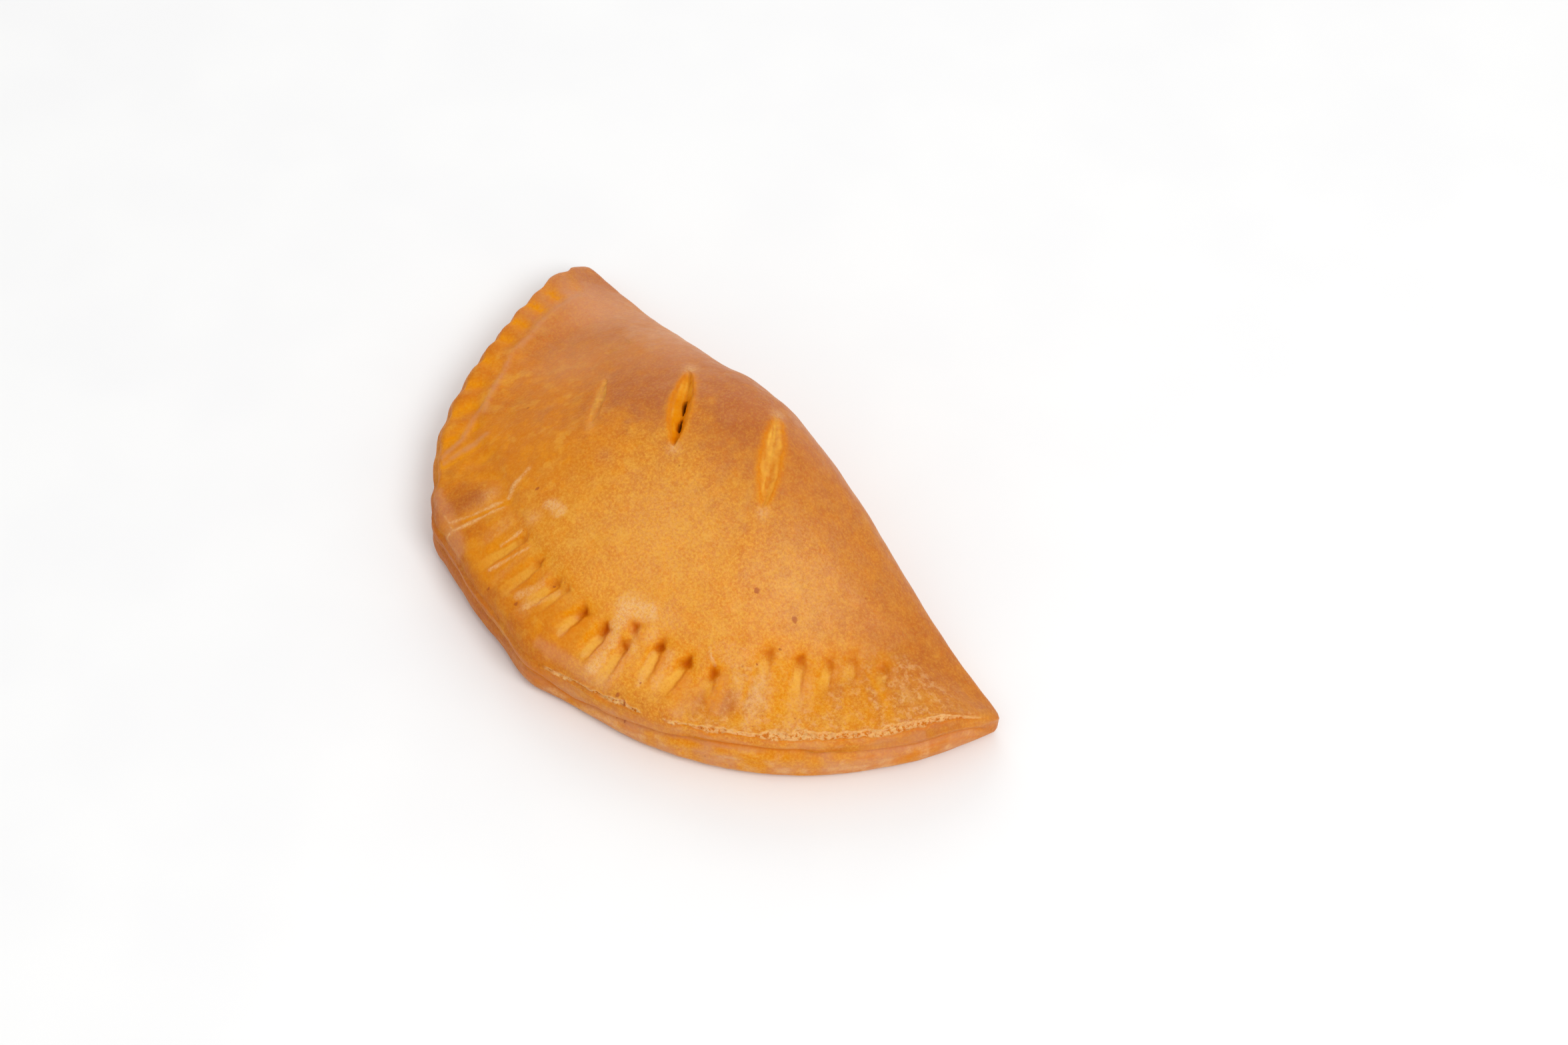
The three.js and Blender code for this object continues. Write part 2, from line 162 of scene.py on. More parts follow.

# Pale, browned and yellow streaks and pinkish streaks of painted sheen, by mask: half width, strength, and
# both ends on the rim.
STROKES = {
    "pale": (
        (2.1, 0.95, (0.61, 15), (0.62, 3.5)), (1.5, 0.7, (0.633, 14), (0.636, 11.2)),
        (1.5, 0.75, (0.639, 11), (0.64, 3.5)), (1, 0.6, (0.66, 11.5), (0.667, 5)),
        (1.3, 0.6, (0.677, 13), (0.681, 6)), (2.6, 0.95, (0.609, 16.6), (0.632, 17.6)),
        (1.3, 0.45, (0.75, 14.5), (0.768, 8)), (1.4, 0.5, (0.772, 14), (0.774, 8)),
        (1, 0.3, (0.79, 16), (0.796, 8.5)), (1.2, 0.35, (0.841, 17), (0.839, 9.5)),
        (0.9, 0.6, (0.518, 9.8), (0.507, 5)), (0.9, 0.6, (0.538, 11.5), (0.522, 4.5)),
        (0.8, 0.5, (0.573, 10), (0.57, 6)), (0.8, 0.5, (0.604, 8.5), (0.603, 4)),
        (1.5, 0.75, (0.449, 20.6), (0.467, 21.4)),
    ),
    # Pinkish streaks of painted sheen.
    "rosy_sheen": (
        (2.3, 0.5, (0.741, 12), (0.746, 6.5)), (2, 0.45, (0.704, 9.5), (0.713, 3)),
        (1.6, 0.4, (0.722, 10), (0.724, 5)), (1.5, 0.4, (0.56, 2.5), (0.64, 2)),
        (1.8, 0.5, (0.345, 1.5), (0.42, 1)),
    ),
    "brown": (
        (1.8, 0.8, (0.735, 10.5), (0.744, 6)),
    ),
    "glow": (
        (3.5, 0.8, (0.8, 17), (0.815, 9)), (3, 0.7, (0.845, 18), (0.85, 10)),
        (4, 0.3, (0.275, 15.5), (0.31, 14.5)), (2.5, 0.6, (0.43, 3.5), (0.47, 3)),
    ),
}
STROKE_HEIGHT = 0.08

# The seam between the layers and the torn skin above it, by rim share. Heights up the rim are measured over
# its skin from the widest outline, upwards to the lip and downwards to the foot.
SEAM_PLACE = ((0, -4.2), (0.5, -3.4), (0.565, -3.7), (0.608, -6.4), (0.639, -4.6), (0.696, -2.6),
              (0.736, -1.1), (0.767, -0.6), (0.826, -0.7), (0.857, -1.3), (0.90, -2.0), (0.948, -3.0),
              (1, -2.4))
SEAM_DEPTH = ((0, 0.5), (0.5, 0.7), (0.585, 0.6), (0.64, 1.2), (0.75, 1.4), (0.85, 1.5), (1, 1.3))
SEAM_FALLS = (0.45, 1.5)
BEAD_HEIGHT = 0.3
TEAR_PLACE = ((0, 1), (0.57, -0.6), (0.64, 0.5), (0.668, 1.3), (0.696, 1.4), (0.734, 2.6), (0.765, 3.1),
              (0.824, 3.8), (0.893, 3.3), (0.95, 2.8), (1, 1.6))
TEAR_WIDTH = ((0, 0), (0.56, 0), (0.60, 0.35), (0.625, 0.3), (0.64, 0.75), (0.675, 1.0), (0.685, 0.25),
              (0.72, 0.25), (0.735, 1.2), (0.80, 2.2), (0.86, 2.0), (0.95, 1.7), (0.99, 0.9), (1, 0.3))
TEAR_DEPTH = 0.5
TEAR_LIFT = 0.2

# The layers along the side of the rim, and the streaks over it: the rim shares where they start, are full,
# are still full and end, and their strength.
LAYER_DEPTH = 0.09
STREAK_DEPTH = 0.12
STREAK_SIZE = 2.4
STREAK_RUNS = ((0.22, 0.3, 0.5, 0.58, 0.6), (0.6, 0.7, 0.94, 1.0, 1.0))

# Steam slits: middle in plan, length, width, depth, where across it is deepest, how much yellow wall and pale
# dough it shows, how orange its outline is, and the dark gaps in it: middle, half length and half width.
SLIT_TURN = math.radians(-43)
SLITS = (
    dict(x=-25.4, y=-25, length=17, width=3.0, depth=0.35, deepest=0.6, wall=0, dough=0.6, outline=0.25,
         gaps=()),
    dict(x=-9.2, y=-14, length=23.5, width=4.7, depth=1.5, deepest=0.2, wall=1, dough=0, outline=0.8,
         gaps=((0.2, 2.2, 0.42), (5.3, 1.7, 0.34))),
    dict(x=14.1, y=-6.8, length=24, width=4.4, depth=0.8, deepest=0.05, wall=0.3, dough=0.7, outline=0.7,
         gaps=()),
)
FIBRE_DEPTH = 0.16
SLIT_LIP = 0.12
GAP_DEPTH = 3.0

# Browner and paler places, and pinkish places of painted sheen over a browner crust, in plan or on the rim,
# with their radius and strength, and specks on the rim with their radius.
BROWNED = (
    (-52, 0, 26, 0.15), (-70, 2, 12, 0.55), (-20, -4, 20, 0.4), (12, 4, 26, 0.35), (-16, -16, 8, 0.6),
    (3, -5, 8, 0.5), (-24, -27, 7, 0.4), (-26, -20, 6, 0.4), (-52, -7, 8, 0.25), (46.6, -45.8, 4, 0.4),
    (50.3, -41.6, 3.5, 0.35), (60, 0, 22, 0.3),
)
PALER = (
    (14.5, -33.7, 17, 0.3), (39, -17, 15, 0.3), (23, -46.5, 4.5, 0.5), (28.8, -43.6, 3.5, 0.4),
)
ROSY_SHEEN_PLACES = ((-62, -2, 15, 0.85), (-34, 4, 19, 0.6), (-45, -19, 12, 0.45), (8, 12, 16, 0.3))
LOBE_BROWNED = 0.85
# Strength of the pinkish painted sheen on the lower layer.
LOWER_ROSY_SHEEN = 0.6
LOWER_GLOW = 0.7
LOWER_PALE = 0.5
RIM_BROWNED = (
    (0.372, 7.5, 4, 0.6), (0.38, 4, 8, 0.75), (0.30, 3, 6, 0.3), (0.25, 14, 7, 0.35), (0.10, 14, 9, 0.3),
    (0.742, 7.5, 4.5, 0.7), (0.70, 3.0, 4, 0.3), (0.52, 3.5, 6, 0.2), (0.58, 3, 4, 0.15),
    (0.865, 13, 3, 0.25), (0.79, 13, 4, 0.2),
)
RIM_PALER = (
    (0.452, 16.6, 1.6, 0.5), (0.614, 17, 3.6, 0.5), (0.606, 15.5, 2.8, 0.5), (0.650, 14.4, 2.6, 0.6),
    (0.632, 4.5, 4.4, 0.5), (0.655, 9, 3.2, 0.3), (0.74, 18, 3, 0.3), (0.385, 12.5, 2.2, 0.45),
)
RIM_SPECKS = (
    (0.420, 20.3, 0.55), (0.512, 4.0, 0.6), (0.5285, 12.1, 0.4), (0.804, 27.4, 0.8), (0.477, 2.0, 0.35),
    (0.268, 21, 0.4), (0.664, 0.9, 0.4), (0.655, 1.4, 0.5), (0.668, 5.3, 0.35), (0.792, 21.6, 0.35),
    (0.769, 17.6, 0.3), (0.735, 31, 0.75),
)

# How brown the edge is, by rim share, and how far in that fades.
EDGE_BROWNED = ((0, 0.5), (0.3, 0.5), (0.36, 1), (0.46, 0.7), (0.52, 0.5), (0.57, 0.5), (0.64, 0.4),
                (0.72, 0.3), (0.87, 0.35), (0.95, 0.65), (1, 0.7))
EDGE_BROWNED_RUN = (1.5, 8)

# Mesh resolution.
OUTLINE_STEPS = 4000
RIM_COLUMNS = 440
FOLD_COLUMNS = 160
SIDE_ROWS = 24
LIP_ROWS = 14
LIP_SHARE = 0.055
LIP_ARC = 2.7
FLANGE_ROWS = 36
FLANGE_SHARE = 0.38
BELLY_ROWS = 50
BELLY_SHARE = 0.993
BASE_SHARES = (0.06, 0.3, 0.55, 0.8, 0.93)
SPINE_STEP = 0.6
FINE_MARGIN = 2.6
FINE_TEAR_MARGIN = 1.7
FINE_SEAM_MARGIN = 1.1
SLIT_MARGIN = 1.0
SLIT_CUTS = 3


def smooth(value, low, high):
    t = np.clip((value - low) / (high - low), 0, 1)
    return t * t * (3 - 2 * t)


def window(value, low, full, still_full, high):
    return smooth(value, low, full) * (1 - smooth(value, still_full, high))


def mix(a, b, t):
    return a + (b - a) * t


def hump(distance, half_width):
    return np.exp(-((distance / half_width) ** 2))


def between(stops, rim_share):
    """The value between two stops of a list, eased, at shares of the way along the rim."""
    shares = np.array([stop[0] for stop in stops], float)
    values = np.array([stop[1] for stop in stops], float)
    share = np.clip(rim_share, 0, 1)
    index = np.clip(np.searchsorted(shares, share, side="left"), 1, len(stops) - 1)
    t = smooth((share - shares[index - 1]) / (shares[index] - shares[index - 1]), 0, 1)
    return mix(values[index - 1], values[index], t)


def lattice(cell, seed):
    """A random number from -1 to 1 at each whole-numbered point of space."""
    mask = np.int64(0xFFFFFFFF)
    n = (cell[0] * 374761393 + cell[1] * 668265263 + cell[2] * 69069 + seed * 362437) & mask
    n = ((n ^ (n >> 13)) * 1274126177) & mask
    n = n ^ (n >> 16)
    return n / float(0xFFFFFFFF) * 2 - 1


def noise(points, size, seed):
    """Smooth random values from -1 to 1, with bumps about one size across."""
    scaled = points.T / size + 0.37 * seed
    cell = np.floor(scaled).astype(np.int64)
    part = scaled - cell
    part = part * part * (3 - 2 * part)
    total = np.zeros(points.shape[0])
    for corner in range(8):
        step = np.array([corner & 1, corner >> 1 & 1, corner >> 2 & 1])[:, None]
        weight = np.prod(np.where(step == 1, part, 1 - part), axis=0)
        total += weight * lattice(cell + step, seed)
    return total


# The outline and the columns that run from it to the spine of the crest.


def outline_point(angle):
    """The widest outline in plan: an ellipse cut off by the bulging fold, with pinched tips and rim lobes."""
    c = np.cos(angle)
    s = np.sin(angle)
    a = (c / RIM_HALF_SPAN) ** 2 + (s / RIM_REACH) ** 2
    b = -2 * s * RIM_CENTRE_Y / RIM_REACH**2
    k = (RIM_CENTRE_Y / RIM_REACH) ** 2 - 1
    rim = (-b + np.sqrt(b * b - 4 * a * k)) / (2 * a)
    fold_x = FOLD_Y * c / np.maximum(s, 1e-3)
    fold_y = FOLD_Y + FOLD_BULGE_OUT * hump(fold_x, np.where(fold_x < 0, *FOLD_BULGE_WIDTHS))
    per_fold = np.maximum(s, 1e-9) / fold_y
    even = (rim**-TIP_SHARPNESS + per_fold**TIP_SHARPNESS) ** (-1 / TIP_SHARPNESS)
    uneven = 1 + sum(along * np.cos(n * angle) + across * np.sin(n * angle) for n, along, across in LOPSIDED)
    for direction, half_width, out in RIM_LOBES:
        turn = (np.degrees(angle) - direction + 180) % 360 - 180
        uneven = uneven + out / even * hump(turn, half_width)
    return even * uneven * c, even * uneven * s


walk_angle = math.pi + 2 * math.pi * np.arange(OUTLINE_STEPS + 1) / OUTLINE_STEPS
walk_x, walk_y = outline_point(walk_angle)
walk_step = np.hypot(np.diff(walk_x), np.diff(walk_y))
walk_along = np.concatenate(([0], np.cumsum(walk_step)))
RIM_LENGTH = walk_along[OUTLINE_STEPS // 2]
ROUND_LENGTH = walk_along[-1]
LEFT_X = walk_x.min()
RIGHT_X = walk_x.max()


def plan_point(rim_share, inward):
    """Where a place on the rim lies in plan."""
    x = np.interp(rim_share * RIM_LENGTH, walk_along, walk_x)
    y = np.interp(rim_share * RIM_LENGTH, walk_along, walk_y)
    part = inward / np.hypot(x - SPINE_SHARE * x, y - SPINE_Y)
    return np.array((mix(x, SPINE_SHARE * x, part), mix(y, SPINE_Y, part)))


def crest_height(x):
    share = np.where(x < 0, x / LEFT_X, x / RIGHT_X)
    return TIP_HEIGHT + (CREST_HEIGHT - TIP_HEIGHT) * np.maximum(1 - share * share, 0) ** CREST_FALL


def make_columns():
    on_rim = RIM_LENGTH * np.arange(RIM_COLUMNS) / RIM_COLUMNS
    on_fold = mix(RIM_LENGTH, ROUND_LENGTH, np.arange(FOLD_COLUMNS) / FOLD_COLUMNS)
    along = np.concatenate((on_rim, on_fold))
    x = np.interp(along, walk_along, walk_x)
    y = np.interp(along, walk_along, walk_y)
    reach = np.hypot(x - SPINE_SHARE * x, y - SPINE_Y)
    crest = crest_height(x)
    fold = smooth(y, *FOLD_BLEND)
    fold_widest = FOLD_WIDEST_SHARE * crest
    return {
        "along": along,
        "x": x,
        "y": y,
        "spine_x": SPINE_SHARE * x,
        "reach": reach,
        "inward_x": (SPINE_SHARE * x - x) / reach,
        "inward_y": (SPINE_Y - y) / reach,
        "fold": fold,
        "fold_widest": fold_widest,
        "fold_undercut": FOLD_UNDERCUT_SHARE * crest,
        "widest": mix(RIM_HEIGHT - LIP_RADIUS, fold_widest, fold),
    }


def top_ring(col, share):
    """Points of the smooth upper surface, how far in from the edge they are and how far up over the lip:
    share 1 is the widest outline and 0 the spine."""
    inward = (1 - share) * col["reach"]
    x = mix(col["spine_x"], col["x"], share)
    y = mix(SPINE_Y, col["y"], share)
    crest = crest_height(x)
    lip_share = np.clip(1 - inward / LIP_RUN, 0, 1)
    rim_body = np.maximum(crest - RIM_HEIGHT, 0) * (1 - share**RIM_SLOPE)
    rim_side = RIM_HEIGHT - LIP_RADIUS + LIP_RADIUS * np.sqrt(1 - lip_share**2) + rim_body
    fold_rise = math.sqrt(max(1 - share**FOLD_ROUNDNESS, 0))
    fold_side = mix(col["fold_widest"], crest, fold_rise)
    up = LIP_ARC * np.arccos(lip_share) + np.maximum(inward - LIP_RUN, 0)
    return np.stack((x, y, mix(rim_side, fold_side, col["fold"])), axis=1), inward, up


def side_ring(col, share):
    """Points of the smooth side: share 1 is the widest outline and 0 the edge of the underside."""
    foot_turn = min(max(1 - share / FOOT_SHARE, 0), 1)
    rim_inset = FOOT_RADIUS * (1 - math.sqrt(1 - foot_turn**2))
    fold_inset = col["fold_undercut"] * (1 - math.sqrt(1 - (1 - share) ** 2))
    inset = mix(rim_inset, fold_inset, col["fold"])
    x = col["x"] + col["inward_x"] * inset
    y = col["y"] + col["inward_y"] * inset
    return np.stack((x, y, col["widest"] * share), axis=1)


def base_ring(col, share):
    edge = side_ring(col, 0)
    x = mix(col["spine_x"], edge[:, 0], share)
    y = mix(SPINE_Y, edge[:, 1], share)
    return np.stack((x, y, np.zeros_like(x)), axis=1)


# The skin: rings of points joined into faces.

PLACES = ("along", "inward", "up", "fold", "top")
FAR_IN = 999.0


class Skin:
    """Points with the place they have on the pocket, and faces."""

    def __init__(self, columns):
        self.columns = columns
        self.points = []
        self.places = []
        self.faces = []
        self.count = 0

    def add(self, points, *place):
        """Adds points and their places: along and in from the edge, up over the lip, on the fold, on top."""
        size = len(points)
        self.points.append(points)
        self.places.append(np.stack([value * np.ones(size) for value in place], axis=1))
        self.count += size
        return np.arange(self.count - size, self.count)

    def some_columns(self, skip):
        return {name: values[::skip] for name, values in self.columns.items()}

    def add_top(self, share, skip):
        col = self.some_columns(skip)
        points, inward, up = top_ring(col, share)
        return self.add(points, col["along"], inward, up, col["fold"], 1)

    def add_side(self, share):
        col = self.columns
        return self.add(side_ring(col, share), col["along"], 0, col["widest"] * (share - 1), col["fold"], 0)

    def add_base(self, share, skip):
        col = self.some_columns(skip)
        return self.add(base_ring(col, share), col["along"], 0, -FAR_IN, col["fold"], -1)

    def join(self, first, second):
        """Joins a lower or outer ring to the next, which may have half or twice as many points."""
        if len(first) == len(second):
            quads = np.stack((first, np.roll(first, -1), np.roll(second, -1), second), axis=1)
            self.faces.extend(quads.tolist())
            return
        fine, coarse = (first, second) if len(first) > len(second) else (second, first)
        start = fine[::2]
        middle = fine[1::2]
        end = np.roll(start, -1)
        after = np.roll(coarse, -1)
        triangles = [(start, middle, coarse), (middle, after, coarse), (middle, end, after)]
        for a, b, c in triangles:
            ordered = (a, b, c) if fine is first else (b, a, c)
            self.faces.extend(np.stack(ordered, axis=1).tolist())

    def close(self, ring, skip, height, top):
        """Closes a ring on a row of points along the spine."""
        low = SPINE_SHARE * LEFT_X
        high = SPINE_SHARE * RIGHT_X
        steps = round((high - low) / SPINE_STEP) if top > 0 else round((high - low) / (10 * SPINE_STEP))
        x = np.linspace(low, high, steps + 1)
        points = np.stack((x, np.full_like(x, SPINE_Y), height(x)), axis=1)
        row = self.add(points, 0, FAR_IN * (top > 0), FAR_IN * top, 0, top)
        spine_x = self.columns["spine_x"][::skip]
        nearest = np.rint((spine_x - low) / (high - low) * steps).astype(int)
        for index, vertex in enumerate(ring):
            after = (index + 1) % len(ring)
            current = nearest[index]
            fan = []
            while current != nearest[after]:
                following = current + (1 if nearest[after] > current else -1)
                fan.append((vertex, row[following], row[current]))
                current = following
            fan.append((vertex, ring[after], row[current]))
            for a, b, c in fan:
                self.faces.append([int(a), int(b), int(c)] if top > 0 else [int(b), int(a), int(c)])


def build_skin():
    skin = Skin(make_columns())
    rings = [skin.add_base(share, 4) for share in BASE_SHARES]
    rings.append(skin.add_base(0.98, 2))
    rings += [skin.add_side((row / SIDE_ROWS) ** 1.3) for row in range(SIDE_ROWS)]
    rings += [skin.add_top(1 - LIP_SHARE * (row / LIP_ROWS) ** 2, 1) for row in range(LIP_ROWS + 1)]
    flange_step = (FLANGE_SHARE - LIP_SHARE) / FLANGE_ROWS
    rings += [skin.add_top(1 - LIP_SHARE - flange_step * row, 1) for row in range(1, FLANGE_ROWS + 1)]
    belly_step = (BELLY_SHARE - FLANGE_SHARE) / BELLY_ROWS
    rings += [skin.add_top(1 - FLANGE_SHARE - belly_step * row, 2) for row in range(1, BELLY_ROWS + 1)]
    for first, second in zip(rings, rings[1:]):
        skin.join(first, second)
    skin.close(rings[0], 4, np.zeros_like, -1)
    skin.close(rings[-1], 2, crest_height, 1)
    return np.concatenate(skin.points), np.concatenate(skin.places), skin.faces


def slit_coordinates(points, x, y, length, width, **_):
    """Distance along a slit from its middle, distance across it, and its half width there."""
    off_x = points[:, 0] - x
    off_y = points[:, 1] - y
    along = off_x * math.cos(SLIT_TURN) + off_y * math.sin(SLIT_TURN)
    across = off_y * math.cos(SLIT_TURN) - off_x * math.sin(SLIT_TURN)
    taper = np.clip(1 - (2 * along / length) ** 2, 0, 1)
    return along, across, width / 2 * taper**0.8


def stroke_coordinates(points, inner, outer):
    """Distance from a stroke's inner end towards its outer end, distance across it, and its length."""
    start = plan_point(*inner)
    run = plan_point(*outer) - start
    length = float(np.hypot(*run))
    ahead = run / length
    off = points[:, :2] - start
    return off @ ahead, off @ np.array((-ahead[1], ahead[0])), length


def near_marks(points, place):
    """Points round the sharp fork marks, the tear and the seam, where the skin gets finer faces."""
    near = np.zeros(len(points), bool)
    for inner, outer, *_ in FORK_MARKS:
        ahead, across, length = stroke_coordinates(points, inner, outer)
        near |= (ahead > -FINE_MARGIN) & (ahead < length) & (np.abs(across) < FINE_MARGIN)
    near &= (place["top"] > 0) & (place["inward"] < 28)
    share = place["along"] / RIM_LENGTH
    on_front = (share > 0.57) & (share < 0.995) & (place["fold"] < 0.5)
    at_tear = np.abs(place["up"] - between(TEAR_PLACE, share)) < FINE_TEAR_MARGIN
    at_seam = np.abs(place["up"] - between(SEAM_PLACE, share)) < FINE_SEAM_MARGIN
    return near | on_front & (at_tear | at_seam)


def near_slits(points, place):
    near = np.zeros(len(points), bool)
    for slit in SLITS:
        along, across, half = slit_coordinates(points, **slit)
        inside = np.abs(along) < slit["length"] / 2 + SLIT_MARGIN
        near |= inside & (np.abs(across) < half + SLIT_MARGIN) & (place["top"] > 0)
    return near


def write_layer(mesh, name, values):
    layer = mesh.attributes.new(name, "FLOAT", "POINT")
    layer.data.foreach_set("value", np.ascontiguousarray(values, dtype=np.float32))


def make_mesh(points, places, faces):
    """The smooth skin, with finer faces where the relief is fine."""
    mesh = bpy.data.meshes.new("pocket_skin")
    mesh.from_pydata(points.tolist(), [], faces)
    place = dict(zip(PLACES, places.T))
    for name, values in place.items():
        write_layer(mesh, name, values)
    bm = bmesh.new()
    bm.from_mesh(mesh)
    for near, cuts in ((near_marks(points, place), 1), (near_slits(points, place), SLIT_CUTS)):
        bm.verts.ensure_lookup_table()
        inside = {bm.verts[int(index)] for index in np.flatnonzero(near)}
        edges = [edge for edge in bm.edges if edge.verts[0] in inside and edge.verts[1] in inside]
        bmesh.ops.subdivide_edges(bm, edges=edges, cuts=cuts, use_grid_fill=True)
    bm.to_mesh(mesh)
    bm.free()
    mesh.shade_smooth()
    return mesh


def read_vertices(mesh):
    """Points, normals and places of a mesh's vertices, as arrays."""
    count = len(mesh.vertices)
    points = np.empty(count * 3, np.float32)
    normals = np.empty(count * 3, np.float32)
    mesh.vertices.foreach_get("co", points)
    mesh.vertex_normals.foreach_get("vector", normals)
    place = {}
    for name in PLACES:
        values = np.empty(count, np.float32)
        mesh.attributes[name].data.foreach_get("value", values)
        place[name] = values.astype(float)
    return points.reshape(-1, 3).astype(float), normals.reshape(-1, 3).astype(float), place


# Relief: how deep the surface lies under the smooth skin, and masks that the crust is coloured by.


class Relief:
    """Depth and colour masks of all points, added up mark by mark."""

    def __init__(self, points, place):
        self.points = points
        self.along = place["along"]
        self.inward = place["inward"]
        self.up = place["up"]
        self.share = self.along / RIM_LENGTH
        self.seam = between(SEAM_PLACE, self.share)
        self.tear = between(TEAR_PLACE, self.share)
        self.on_top = (place["top"] > 0).astype(float)
        self.outside = (place["top"] >= 0).astype(float)
        self.on_rim = (1 - place["fold"]) * (1 - smooth(self.share, *RIM_END)) * self.outside
        self.flange = self.on_top * self.on_rim * (self.inward < FLANGE_REACH)
        self.depth = np.zeros(len(points))
        self.masks = {}

    def noise(self, *octaves):
        """Noise of several sizes, each given as its strength, its size and its seed."""
        return sum(strength * noise(self.points, size, seed) for strength, size, seed in octaves)

    def paint(self, name, amount):
        """Keeps the stronger of a mask's old and new amounts, from 0 to 1."""
        self.masks[name] = np.clip(np.maximum(self.masks.get(name, 0), amount), 0, 1)


def skin_noise(a, b, size, seed):
    """Noise over two distances on the skin, one of them often shortened for long streaks."""
    return noise(np.stack((a, b, 0 * a), axis=1), size, seed)


def press_rim(relief):
    reach = between(PRESS_REACH, relief.share) + relief.noise((1, 9, 31))
    step = smooth(reach + PRESS_EDGE - relief.inward, 0, PRESS_EDGE)
    relief.depth += PRESS_DEPTH * step * relief.flange


def press_fork_marks(relief):
    """A flat pale ribbon running outwards from each pit, steep on its far side and easy on the near."""
    wobble = relief.noise((0.35, 3.2, 32), (0.2, 1.1, 33))
    jitter = relief.noise((0.4, 1.3, 53), (0.25, 0.6, 54))
    for inner, outer, pit, trough, wall in FORK_MARKS:
        ahead, across, length = stroke_coordinates(relief.points, inner, outer)
        across = across + wobble
        ahead = ahead + jitter
        half = MARK_HALF_WIDTH * mix(0.6, 1.1, np.clip(ahead / length, 0, 1))
        run = window(ahead, -0.8, 0.8, 0.4 * length, length + 1) * relief.flange
        bed = window(across, -2.4 * half, -0.6 * half, half - 0.2, half + 0.5) * run
        hollow = press_pit(relief, ahead, across, pit, 9 * inner[0] * pit)
        relief.depth += trough * bed + pit * hollow
        flat = smooth(ahead, 1.2, 3.0) * bed * smooth(half - np.abs(across), -0.3, 0.4)
        relief.paint("floor", (0.35 + 0.65 * trough) * flat)
        # The far wall is painted darker: deeper orange of the stretched dough, and painted shade along it.
        relief.paint("line", 0.6 * wall * hump(across - half - 0.1, 0.5) * run)
        relief.paint("ember_and_shade", 0.45 * wall * hump(across - half - 0.9, 0.9) * run)
        relief.paint("glow", (0.4 + 0.8 * trough) * hump(across + 1.2 * half + 0.5, 1.2) * run)
        relief.paint("glow", 0.8 * trough * hump(across - half - 1.6, 1.4) * run)


def press_pit(relief, ahead, across, pit, turn):
    """Colours a ragged pit at the inner end of a mark with painted shade in and round it, and gives the shape
    of its hollow.
    """
    ragged = PIT_RADIUS * (1 + 0.22 * np.cos(3 * np.arctan2(across, ahead) + turn))
    stretch = np.where(ahead < 0, 0.85, 1.7)
    hole = hump(np.hypot(across, ahead / stretch), ragged) * relief.flange
    halo = hump(np.hypot(across, ahead / 1.15 + 0.4), HALO_RADIUS) * relief.flange
    strong = min(1, pit) * relief.flange
    relief.paint("glow", min(1, 0.35 + 0.8 * pit) * halo)
    # Painted shade round the pit and in it.
    relief.paint("ember_and_shade", 0.8 * strong * hump(np.hypot(across, ahead / 1.1), 1.35 * ragged))
    relief.paint("pit", strong * hump(np.hypot(across, ahead / 1.3), 0.7 * ragged))
    return 0.85 * hole + 0.25 * halo


def press_soft_marks(relief):
    for inner, outer, half, deep in SOFT_MARKS:
        ahead, across, length = stroke_coordinates(relief.points, inner, outer)
        along = np.clip(ahead, 0, length)
        spot = hump(np.hypot(ahead - along, across), half) * relief.flange
        groove = hump(across, 1.1 * half) * smooth(ahead, 0, length) * relief.flange * (ahead < GROOVE_REACH)
        relief.depth += deep * spot + 0.5 * deep * groove * (1 - spot)
        relief.paint("glow", 2.2 * deep * np.maximum(spot, 0.55 * groove))
        # Painted shade on the far side of the hollow.
        far_side = hump(np.hypot(ahead - 0.3 * along, across - 0.9 * half), 0.6 * half) * relief.flange
        relief.paint("ember_and_shade", 0.8 * deep * far_side)


def from_stroke(relief, inner, outer):
    ahead, across, length = stroke_coordinates(relief.points, inner, outer)
    return np.hypot(ahead - np.clip(ahead, 0, length), across)


def raise_lines(relief, lines, mask, strength):
    for half, height, corners in lines:
        distance = np.full(len(relief.points), FAR_IN)
        for inner, outer in zip(corners, corners[1:]):
            distance = np.minimum(distance, from_stroke(relief, inner, outer))
        distance += relief.noise((0.25, 2.2, 34))
        line = hump(np.maximum(distance, 0), half) * relief.flange
        relief.depth -= height * line
        relief.paint(mask, strength * line)


def paint_strokes(relief):
    """Streaks and patches with ragged edges, the pale ones a little raised."""
    ragged = relief.noise((0.5, 2.4, 50), (0.35, 0.9, 51))
    for mask, strokes in STROKES.items():
        for half, amount, inner, outer in strokes:
            distance = from_stroke(relief, inner, outer) + ragged
            stroke = (1 - smooth(distance, 0.35 * half, 1.35 * half)) * relief.flange
            relief.depth -= STROKE_HEIGHT * stroke * (mask == "pale")
            relief.paint(mask, amount * stroke)


